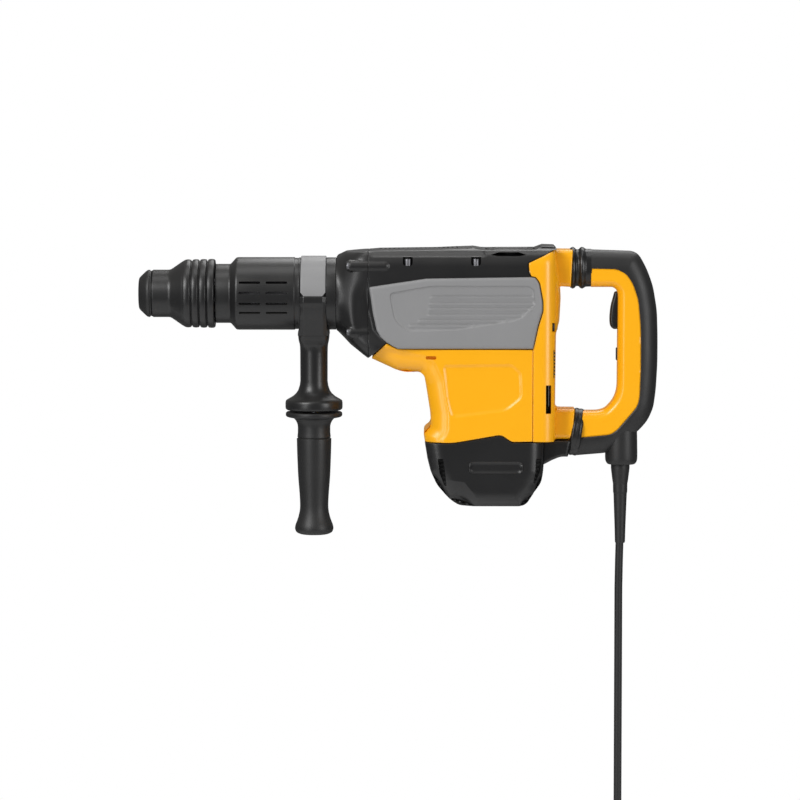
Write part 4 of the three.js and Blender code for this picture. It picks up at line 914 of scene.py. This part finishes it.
panel_lines = [(field, 1.9, True)]
panel_lines += [([(a[0], a[1] + lift), (b[0], b[1] + lift)], 0.8, False)
                for a, b in grip_lines for lift in (-1.5, 1.5, 2.1)]
for name, side in (("side_panel_left", -1), ("side_panel_right", 1)):
    panel = moulding(name + "_cover", panel_corners, panel_reach, grey_plastic, step=1.3,
                     rows=(0.15, 0.6, 1.4, 2.5), lines=panel_lines, side=side, inner=panel_base,
                     seam=0.3)
    finished(panel, "housing", "grey_panel", name)


# ---- Motor housing ------------------------------------------------------------------------------
# The upright yellow body around the motor, moulded in nylon: broad rounded front edges, a chin
# under the gears and a shallow sunk field on each side.
yellow_plastic = moulded("yellow_plastic", (0.93, 0.42, 0.004), 0.3, grain=800.0, relief=0.016,
                         drift=0.05, patches=0.1)
motor_half = 52.0
motor_corners = [
    (64.9, -71.2, 1), (92.4, -83.5, 5), (102.7, -85.5, 3), (118.4, -85.2, 3), (123.6, -89, 3),
    (125.4, -99.9, 6), (130.6, -132.7, 6), (130.6, -145.6, 4), (123.8, -151.0, 3), (122.8, -154.2, 2),
    (124.2, -163.0), (156.4, -163.0, 6), (206.3, -154.3, 3), (210.6, -155.1, 2), (220.6, -161.9, 3),
    (243.6, -161.6), (243.9, -59.4), (94.0, -59.2), (81.8, -52.8), (66.2, -68.2)]
front_edge = [(64.9, -71.2), (92.4, -83.5), (118.4, -85.2), (125.4, -99.9), (130.6, -132.7),
              (130.6, -145.6), (122.8, -154.2), (124.2, -163.0)]
sunk = outline_of([(144, -76.2, 5), (221.5, -75.2, 5), (231.4, -85, 3), (232.6, -113.5, 6),
                   (215, -127.6, 6), (153.4, -135.6, 6), (147.8, -115, 6)])


def motor_reach(x, z, p, depth):
    to_front = distance(p, front_edge, closed=False)
    reach = motor_half - rounding(to_front, 21, 19) - 1.4 * rise(19 - to_front, 5)
    reach -= 5.5 * rise(100 - x, 60) * rise(-60 - z, 12)
    crown = 1.2 * ((x - 190) / 60) ** 2
    reach -= crown + 1.9 * rise(depth_in(p, sunk) - 1.5, 4.5)
    return np.maximum(reach - rounding(depth, 0.9), 3)


motor = moulding("motor_housing_body", motor_corners, motor_reach, yellow_plastic, step=1.4,
                 rows=(0.2, 0.6, 1.2, 2.4), lines=[(sunk, 1.8, True)])
cut(motor, block("inside", (137, 239.6), (-44, 44), (-200, -48)))
recess = outline_of([(125.4, -70.4, 1.2), (136.8, -70.4, 1.2), (136.8, -66.6, 1.2), (125.4, -66.6, 1.2)])
for side in (-1, 1):
    cut(motor, prism(recess, side * 44, side * 70))
finished(motor, "housing", "yellow_housing", "motor_housing")


# ---- End cap ------------------------------------------------------------------------------------
# The black cap under the motor, which draws in the cooling air and is the foot the tool stands on.
# It has vents at its front and rear, a long raised pad on each side and a bevelled lower edge.
cap_half = 50.0
cap_corners = [
    (124.2, -163.9), (127, -181.3), (130.6, -195.7, 5), (137.8, -211.3, 5), (150.6, -227, 6),
    (162.1, -233.5, 4), (182, -235.6, 4), (230.6, -235.6, 5), (237.8, -232.1, 4),
    (246.3, -219.9, 4), (253.5, -208.4, 4), (255.6, -198.5, 3), (256.3, -190.2), (256.4, -163.0),
    (221.0, -163.0), (210.8, -156.1, 2), (206.3, -155.3, 3), (156.4, -163.9, 6)]
cap_end = [(124.2, -163.9), (127, -181.3), (130.6, -195.7), (150.6, -227), (182, -235.6),
           (230.6, -235.6), (246.3, -219.9), (255.6, -198.5), (256.4, -163.0)]
pad = outline_of([(172.5, -184, 6), (233.5, -184, 6), (233.5, -197.6, 6), (172.5, -197.6, 6)])
bevel_line = [(130.5, -196), (150, -204.6), (168, -206.9), (182, -224.2), (229.2, -224.2),
              (240.6, -205.7), (256, -198)]
bevel_area = [*bevel_line, (262, -240), (120, -240)]


def cap_reach(x, z, p, depth):
    to_end = distance(p, cap_end, closed=False)
    reach = cap_half - rounding(to_end, 19, 15)
    below = np.maximum(depth_in(p, bevel_area), 0)
    reach -= np.minimum(0.55 * below, 12)
    on_pad = depth_in(p, pad)
    reach += 1.3 * rise(on_pad - 0.5, 0.9) - 1.6 * rise(on_pad - 2.3, 1.0)
    return np.maximum(reach - rounding(depth, 0.9), 3)


cap_lines = [(pad, 1.2, True), (bevel_line, 1.0, False)]
cap = moulding("end_cap_body", cap_corners, cap_reach, tough_black, step=1.4,
               rows=(0.2, 0.6, 1.2, 2.4), lines=cap_lines)
cut(cap, block("inside", (137, 241), (-38, 38), (-206, -150)))
vent_mouths = [
    [(138.6, -181, 1.5), (144.6, -181, 1.5), (147.4, -200), (148.4, -212, 1), (146, -212, 1), (140.6, -197)],
    [(247.6, -181, 1.5), (253.4, -181, 1.5), (252.4, -194), (247.2, -209, 1), (244.6, -209, 1), (247, -196)]]
for mouth in vent_mouths:
    for side in (-1, 1):
        cut(cap, prism(outline_of(mouth), side * 40, side * 70))
rear_vents = [block("vent", (244, 262), (-30, 30), (z - 1.8, z + 1.8)) for z in range(-172, -205, -8)]
cut(cap, *rear_vents)
tail_corners = [(254, -163.0), (287.2, -163.0), (283.9, -181.2, 1), (275.5, -181.3, 3),
                (266.6, -184.8, 4), (256.2, -190.4), (254, -190.4)]
tail = moulding("tail", tail_corners, lambda x, z, p, depth: 23 - rounding(depth, 3.5), tough_black,
                step=1.6, rows=(0.3, 1.0, 2.0, 3.2))
louvres = []
for side in (-1, 1):
    for i in range(6):
        z = -183.0 - i * 4.8
        for x0, x1 in ((137.6 + i * 1.3, 146.5 + i * 0.6), (246.8 - i * 0.6, 253.6 - i * 1.0)):
            louvres.append(block("louvre", (x0, x1), sorted((side * 39.6, side * 41.6)),
                                 (z - 1.0, z + 1.0), tough_black, 0.3))
finished(joined("end_cap_shell", cap, tail, *louvres), "housing", "black_housing", "end_cap")


# ---- Rear shells --------------------------------------------------------------------------------
# Two yellow halves behind the motor that close the body, meeting in a seam down the middle. Their
# stubs at the top and the bottom carry the D-handle through its rubber boots.
shell_corners = [
    (244.2, -162.0), (244.2, -59.0), (249.9, -33.9), (255.1, -16.6), (255.1, -6.1), (251.4, 14.8, 3),
    (247, 21.0, 2), (242.0, 21.9), (240.0, 27.2), (239.2, 33.6), (239.6, 36.6), (257, 44.8),
    (266.5, 49.9), (288.6, 49.6), (286.4, 8.4), (274.6, 9.2, 2), (275.2, -4.1, 3), (273.8, -29.1),
    (270.1, -43.3, 3), (269.3, -123.8, 3), (271.8, -127.9, 2), (291.2, -128.3), (288.5, -159.7),
    (286.6, -162.3), (257.5, -162.3)]
slot_outline = outline_of([(258.3, -130.8, 0.8), (264.3, -130.8, 0.8), (264.3, -99, 0.8),
                           (258.3, -99, 0.8)])


def shell_reach(x, z, p, depth):
    wide = motor_half - rounding(np.maximum(270 - x, 0), 17, 15)
    wide -= 1.2 * ((z + 100) / 60) ** 2 * (z < -100)
    top = rounding(np.maximum(50 - z, 0), 17, 15)
    wide -= top
    stub = 23 - rounding(np.minimum(np.abs(z - 49.8), np.abs(z - 8.3)), 7) * (z > -60)
    stub -= rounding(np.minimum(np.abs(z + 128), np.abs(z + 162)), 7) * (z < -60)
    past = rise(x - np.interp(z, [-160, -124, -44, -29, -4, 9, 20, 50],
                              [268.4, 268.6, 269.2, 272.6, 274, 273, 271.5, 267.5]), 2.2)
    reach = wide * (1 - past) + np.minimum(stub, wide) * past
    return np.maximum(reach - rounding(depth, 1.0), 3)


shell_lines = [([(268.6, -159), (268.6, -126)], 2.2, False), ([(273.2, 10.5), (268, 47)], 2.2, False)]
corner_notches = [((265.2, 276), (-40.2, -29.8), 33), ((266.8, 272), (-91.5, -59.8), 30)]
speed_low, speed_high = (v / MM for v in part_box("speed_dial"))
for name, side in (("rear_shell_left", -1), ("rear_shell_right", 1)):
    shell = moulding(name + "_body", shell_corners, shell_reach, yellow_plastic, step=1.4,
                     rows=(0.2, 0.6, 1.2, 2.4), lines=shell_lines, side=side)
    cut(shell, block("inside", (240, 263.5), (-44, 44), (-157, 2)))
    cut(shell, block("stub", (250, 284), (-18.5, 18.5), (13, 44)))
    cut(shell, block("stub", (262, 284), (-18.5, 18.5), (-170, -133)))
    cut(shell, prism(slot_outline, side * 30, side * 70))
    wheel_room = block("wheel", (speed_low.x - 1, 290), (speed_low.y - 0.8, speed_high.y + 0.8),
                       (speed_low.z - 1, speed_high.z + 1), None, 0.8)
    cut(shell, wheel_room)
    plate_low, plate_high = (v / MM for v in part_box("rear_vent_plate"))
    cut(shell, block("plate", (plate_low.x - 1, 290), (plate_low.y - 0.3, plate_high.y + 0.3),
                     (plate_low.z - 0.3, plate_high.z + 0.3)))
    cut(shell, block("tongue", (274, 300), (-6.4, 6.4), (-152, -138)))
    for (x0, x1), (z0, z1), y in corner_notches:
        cut(shell, block("notch", (x0, x1), sorted((side * y, side * 60)), (z0, z1), None, 0.3))
    finished(shell, "housing", "yellow_housing", name)


# ---- Speed dial and rear vent -------------------------------------------------------------------
# A knurled black thumb wheel that sets the speed, and a dark louvred plate below it, let into the
# rear wall between the two shells. Black inserts, one plain and one barred a side, fill its notches.
wheel_rings, knurls = [], 36
wheel_x, wheel_z = (speed_low.x + speed_high.x) / 2, (speed_low.z + speed_high.z) / 2
wheel_radius, wheel_half = (speed_high.x - speed_low.x) / 2, (speed_high.y - speed_low.y) / 2
for y, shrink in ((-wheel_half, 1.2), (-wheel_half + 0.6, 0.3), (-wheel_half + 1.4, 0),
                  (wheel_half - 1.4, 0), (wheel_half - 0.6, 0.3), (wheel_half, 1.2)):
    ring = []
    for i in range(4 * knurls):
        turn = 2 * math.pi * i / (4 * knurls)
        r = wheel_radius - 0.1 - shrink - 0.35 * (1 - math.cos(knurls * turn)) / 2
        ring.append((wheel_x + r * math.cos(turn), y, wheel_z + r * math.sin(turn)))
    wheel_rings.append(ring)
finished(loft("speed_wheel", wheel_rings, tough_black), "speed_dial", "black_housing", "speed_dial")
louvres = block("rear_vent_cover", (plate_low.x, plate_high.x), (plate_low.y, plate_high.y),
                (plate_low.z, plate_high.z), tough_black, 0.4)
middle, gap_spacing, gap_half = (plate_low.z + plate_high.z) / 2, 5.4, 1.1
openings = [block("gap", (plate_low.x - 2, plate_high.x + 2), (plate_low.y + 3, plate_high.y - 3),
                  (middle + gap_spacing * i - gap_half, middle + gap_spacing * i + gap_half))
            for i in range(-2, 3)]
cut(louvres, *openings)
inserts = []
for side in (-1, 1):
    inserts.append(block("insert", (264.6, 268.2), sorted((side * 32.6, side * 42)), (-39.4, -30.6),
                         tough_black, 1.2))
    inserts.append(block("insert", (266, 267.6), sorted((side * 29.6, side * 41)), (-91.7, -59.6),
                         tough_black, 0.2))
    for i in range(7):
        z = -64 - i * 3.9
        inserts.append(block("bar", (267.4, 268.8), sorted((side * 29.8, side * 40)), (z - 0.7, z + 0.7),
                             tough_black, 0.2))
finished(joined("rear_vent_cover", louvres, *inserts), "housing", "black_housing", "rear_vent_plate")


# ---- D-handle -----------------------------------------------------------------------------------
# The rear handle: two yellow nylon halves for its core, and a soft black overmould that wraps the
# outside of its bow for grip. The two meet in a groove that runs round the bow.
inner_corners = [
    (301, -130.9), (317.1, -130.9, 4), (325.5, -128.6, 4), (334.8, -118.6, 8),
    (339.0, -106.5, 8), (339.4, 3.0, 5), (334.3, 7.9, 3), (309.3, 7.9)]
split_corners = [
    (309.3, 28.9), (337.9, 28.3, 5), (348.5, 22.7, 4), (355.7, 12, 4), (362, -5.9, 8),
    (364.7, -36.3, 10), (365, -80.9, 10), (363.8, -116, 6), (360.8, -126, 6), (338.5, -152.0, 6),
    (330.7, -156.8, 4), (297.2, -160.0)]
outer_corners = [
    (293.6, -181.2), (330, -178.2, 8), (362.9, -154.1, 8), (373.6, -141.6, 6), (379.8, -127.3, 6),
    (382.5, -107.6, 8), (384.2, -77.3, 10), (384.2, -45, 10), (383.3, -18.4, 8), (378.9, 8.4, 8),
    (371.8, 28, 8), (363.0, 44, 6), (355.7, 47.8, 4), (309.3, 49.4)]
inner_line, split_line, outer_line = (
    [tuple(q) for q in outline_of(line)] for line in (inner_corners, split_corners, outer_corners))
core_corners = [*inner_line, *split_line]
overmould_corners = [*outer_line, *split_line]
core_half, overmould_half = 19.0, 19.8


def bow_reach(p):
    from_outer = distance(p, outer_line, closed=False)
    from_inner = distance(p, inner_line, closed=False)
    return overmould_half - rounding(from_outer, 20, 17.5) - rounding(from_inner, 12, 11)


def groove(p):
    """The groove where the core and the overmould meet."""
    return 0.9 * (1 - rise(distance(p, split_line, closed=False) - 0.7, 1.2))


def core_reach(x, z, p, depth):
    return np.maximum(np.minimum(bow_reach(p), core_half) - groove(p), 1.2)


def overmould_reach(x, z, p, depth):
    return np.maximum(bow_reach(p) - groove(p), 1.5)


button_low, button_high = (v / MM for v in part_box("lock_button"))
for name, side in (("handle_core_left", -1), ("handle_core_right", 1)):
    core = moulding(name + "_shell", core_corners, core_reach, yellow_plastic, step=1.4,
                    rows=(0.1, 0.5, 1.2, 2.3, 4.0), side=side)
    cut(core, block("trigger_room", (326, 354), (-8.7, 8.7), (-42, 4.4), None, 1.2))
    cut(core, block("button_room", (326, 350), (-4.8, 4.8), (button_low.z - 0.6, button_high.z + 0.6),
                    None, 0.8))
    tongue = moulding("tongue", [(272, -150.4, 4), (306, -150.4), (306, -139.6), (272, -139.6, 4)],
                      lambda x, z, p, depth: 5.5 + 0 * x, yellow_plastic, step=3, rows=(0.4, 1),
                      side=side)
    cut(tongue, drill(-60, 60, 4.9, "y", at=(280, 0, -145), sides=32))
    finished(joined(name + "_shell", core, tongue), "rear_handle", "yellow_housing", name)
overmould = moulding("handle_soft_grip", overmould_corners, overmould_reach, soft_black, step=1.4,
                     rows=(0.1, 0.5, 1.2, 2.3, 4.0))
boss = turned("lead_boss", softer([
    (-150, 0), (-150, 17.6, 0), (-180, 18.2, 6), (-187.6, 17.9, 3), (-191.2, 15.4, 1.5), (-191.4, 0)],
    1.0), soft_black, axis="z", at=(344.2, 0, 0), sides=64)
finished(joined("handle_soft_grip", overmould, boss), "rear_handle", "rubber_grip", "handle_overmould")


# ---- Trigger and lock-on button -----------------------------------------------------------------
# The long trigger is hard black plastic, hollowed to the finger and hinged at its upper end. The
# small button under it holds the trigger down for steady chipping.
trigger_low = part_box("trigger")[0] / MM
trigger_corners = [(336, 2.4, 2), (331.6, -14, 4), (trigger_low.x, -27, 5), (331.0, -36.5, 4),
                   (335, trigger_low.z, 2), (341.2, -39), (341.2, 2.4)]


def trigger_reach(x, z, p, depth):
    return 8.0 - rounding(depth, 3.2, 3.0)


trigger = moulding("trigger_lever", trigger_corners, trigger_reach, tough_black, step=1.0,
                   rows=(0.15, 0.6, 1.4, 2.4))
finished(trigger, "trigger", "black_housing", "trigger")
button = block("lock_on_button", (button_low.x, button_high.x), (button_low.y, button_high.y),
               (button_low.z, button_high.z), tough_black, 1.3)
finished(button, "lock_button", "black_housing", "lock_button")


# ---- Rubber boots -------------------------------------------------------------------------------
# Ribbed rubber sleeves that close the gap between the body and the D-handle and let it move.
boot_rubber = moulded("boot_rubber", (0.008, 0.008, 0.008), 0.33, grain=500.0, relief=0.03,
                      patches=0.12)


def boot(name, profile, at, squeeze, tilt):
    sleeve = turned(name, softer(profile, 1.2, 5), boot_rubber, at=at, sides=96, squeeze=squeeze,
                    tilt=tilt)
    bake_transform(sleeve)
    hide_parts(name.replace("_sleeve", ""))
    return sleeve


boot("upper_boot_sleeve", [
    (-9.8, 17.5, 0), (-9.8, 21.6, 0), (-9.2, 22.2, 0.4), (-8.4, 22.6, 0.8), (-6.6, 23.6, 1.8),
    (-4.4, 22.4, 0.8), (-3.0, 20.6, 1.2), (-0.2, 20.5, 1.2), (1.4, 22.4, 0.8), (3.6, 23.6, 1.8),
    (5.8, 22.6, 0.8), (7.6, 21.2, 1.2), (14, 21.1, 0), (14, 17.5, 0), (-9.8, 17.5)],
    (295.8, 0, 28.9), 0.93, 0)
boot("lower_boot_sleeve", [
    (-6.2, 20, 0), (-6.2, 24.2, 0), (-5.6, 25.6, 1.2), (-3.4, 26.9, 1.6), (-1, 26.6, 1), (0.2, 26.2, 0.6),
    (1.6, 26.6, 1), (3.6, 26.7, 1.6), (5.6, 25.4, 1.2), (6.2, 24.2, 0), (6.2, 20, 0), (-6.2, 20)],
    (293.2, 0, -155), 0.92, math.radians(8.8))


# ---- Strain relief ------------------------------------------------------------------------------
# A long tapered rubber sleeve that keeps the lead from kinking where it leaves the handle, moulded
# onto the lead and held in the handle's boss by its collar.
relief_low, relief_high = (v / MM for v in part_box("strain_relief"))
relief_profile = [(relief_high.z, 0, 0), (relief_high.z, 10.5, 0), (-196, 10.5, 1), (-211, 8.6, 3),
                  (-213, 8.1, 1), (-222.5, 8.0, 1), (-224, 7.5, 1), (-262, 6.1, 6),
                  (relief_low.z + 1.2, 5.7, 0.5), (relief_low.z, 5.2, 0.3), (relief_low.z, 0)]
finished(turned("strain_relief_sleeve", softer(relief_profile, 0.5, 3), soft_black, axis="z",
                at=((relief_low.x + relief_high.x) / 2, 0, 0), sides=48),
         "rear_handle", "rubber_grip", "strain_relief")


# ---- Tool holder and hammer works ---------------------------------------------------------------
# Ground and hardened steel: the tool holder, its locking bars, bolt, striker, piston and cylinder.
# These pieces keep their frame shapes inside the housings; the two springs are wound anew.
bright_steel = metal("bright_steel", (0.56, 0.56, 0.58), 0.22)
dark_steel = metal("phosphated_steel", (0.15, 0.15, 0.155), 0.42, spread=0.2)


def keep(names, material):
    """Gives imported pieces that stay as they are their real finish."""
    for name in names:
        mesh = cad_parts[name].data
        mesh.materials.clear()
        mesh.materials.append(material)


keep(("tool_holder", "impact_bolt", "striker", "piston", "connecting_rod",
      "spindle_tube", "clamp_bolt", "pivot_pin", "armature_shaft", "crank_gear",
      "bevel_pinion", "front_bearing", "spindle_bearing", "upper_motor_bearing",
      "lower_motor_bearing"), bright_steel)
keep(("locking_bar_upper", "locking_bar_lower", "wrist_pin", "clutch_gear", "spindle_gear"),
     dark_steel)


def spring(name, node, radius, wire_radius, turns):
    """A wire spring along X in a packed spring's place."""
    low, high = (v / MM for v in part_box(node))
    middle = (low + high) / 2
    start, run = low.x + wire_radius, high.x - low.x - 2 * wire_radius
    steps, sides = 24, 10
    rings = []
    for i in range(turns * steps + 1):
        turn = 2 * math.pi * i / steps
        along = start + run * i / (turns * steps)
        ring = []
        for j in range(sides):
            around = 2 * math.pi * j / sides
            reach = radius + wire_radius * math.cos(around)
            ring.append((along + wire_radius * math.sin(around), reach * math.cos(turn),
                         middle.z + reach * math.sin(turn)))
        rings.append(ring)
    coils = loft(name, rings, bright_steel)
    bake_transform(coils)
    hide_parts(node)


spring("sleeve_return_spring", "chuck_spring", 19.5, 0.85, 5)
spring("handle_damping_spring", "handle_spring", 5.2, 0.75, 5)


# ---- Motor and electronics ----------------------------------------------------------------------
# The wound motor: laminated stator and armature, copper commutator, carbon brushes, a plastic fan,
# and the speed control and switch. They keep their frame shapes too.
winding_copper = metal("winding_copper", (0.62, 0.27, 0.13), 0.35, (200.0, 200.0, 1.0), 0.2, 0.4)
lamination = metal("laminated_steel", (0.23, 0.23, 0.24), 0.45, (1.0, 1.0, 300.0), 0.2, 0.5)
carbon = moulded("carbon", (0.03, 0.03, 0.032), 0.6, grain=1500.0, relief=0.03, patches=0.2)
board = moulded("potted_board", (0.03, 0.11, 0.05), 0.45, drift=0.4, grain=400.0, relief=0.1)
keep(("stator",), lamination)
keep(("armature_core", "commutator"), winding_copper)
keep(("carbon_brush_left", "carbon_brush_right"), carbon)
keep(("control_module",), board)
keep(("cooling_fan", "switch_body"), tough_black)


# ---- Studio -------------------------------------------------------------------------------------
# A pale floor under the lead's coil, a white surround, and five soft lights in metres and watts: a
# key high on the nose's side, a narrow strip below it, a fill from the D-handle's side, one right
# above and one behind, which draws the upper edges.
floor_corners = [(-0.9, -0.9, 0), (1.1, -0.9, 0), (1.1, 0.25, 0), (-0.9, 0.25, 0)]
floor_mesh = bpy.data.meshes.new("floor")
floor_mesh.from_pydata(floor_corners, [], [(0, 1, 2, 3)])
floor = bpy.data.objects.new("floor", floor_mesh)
floor.location.z = lead_floor * MM - 0.0005
bpy.context.scene.collection.objects.link(floor)
pale = bpy.data.materials.new("pale_floor")
pale.use_nodes = True
tree, shader = nodes_of(pale)
shader.inputs["Base Color"].default_value = (0.93, 0.93, 0.93, 1)
shader.inputs["Roughness"].default_value = 0.9
shader.inputs["Specular IOR Level"].default_value = 0.1
floor_mesh.materials.append(pale)

surround_light, surround_seen = 0.16, 1.0
world = bpy.data.worlds.new("studio")
world.use_nodes = True
bpy.context.scene.world = world
tree = world.node_tree
back = next(n for n in tree.nodes if n.type == "BACKGROUND")
seen = wire(tree, "ShaderNodeLightPath").outputs["Is Camera Ray"]
level = wire(tree, "ShaderNodeMapRange", Value=seen)
level.inputs["To Min"].default_value = surround_light
level.inputs["To Max"].default_value = surround_seen
back.inputs["Color"].default_value = (1, 1, 1, 1)
tree.links.new(level.outputs["Result"], back.inputs["Strength"])


def soft_light(name, at, size, power, aim=(0.1, 0, -0.1)):
    data = bpy.data.lights.new(name, "AREA")
    data.shape, data.size, data.size_y, data.energy = "RECTANGLE", size[0], size[1], power
    light = bpy.data.objects.new(name, data)
    light.location = at
    light.rotation_euler = (Vector(aim) - Vector(at)).to_track_quat("-Z", "Y").to_euler()
    bpy.context.scene.collection.objects.link(light)


soft_light("key", (-1.5, -1.9, 1.5), (1.2, 1.2), 54)
soft_light("edge", (-1.6, -2.3, -0.1), (0.25, 1.6), 16)
soft_light("fill", (1.9, -1.6, 0.3), (0.6, 1.6), 24)
soft_light("top", (0.15, -0.2, 1.7), (1.6, 0.7), 8)
soft_light("rear", (0.5, 1.3, 1.6), (1.6, 1.2), 18)
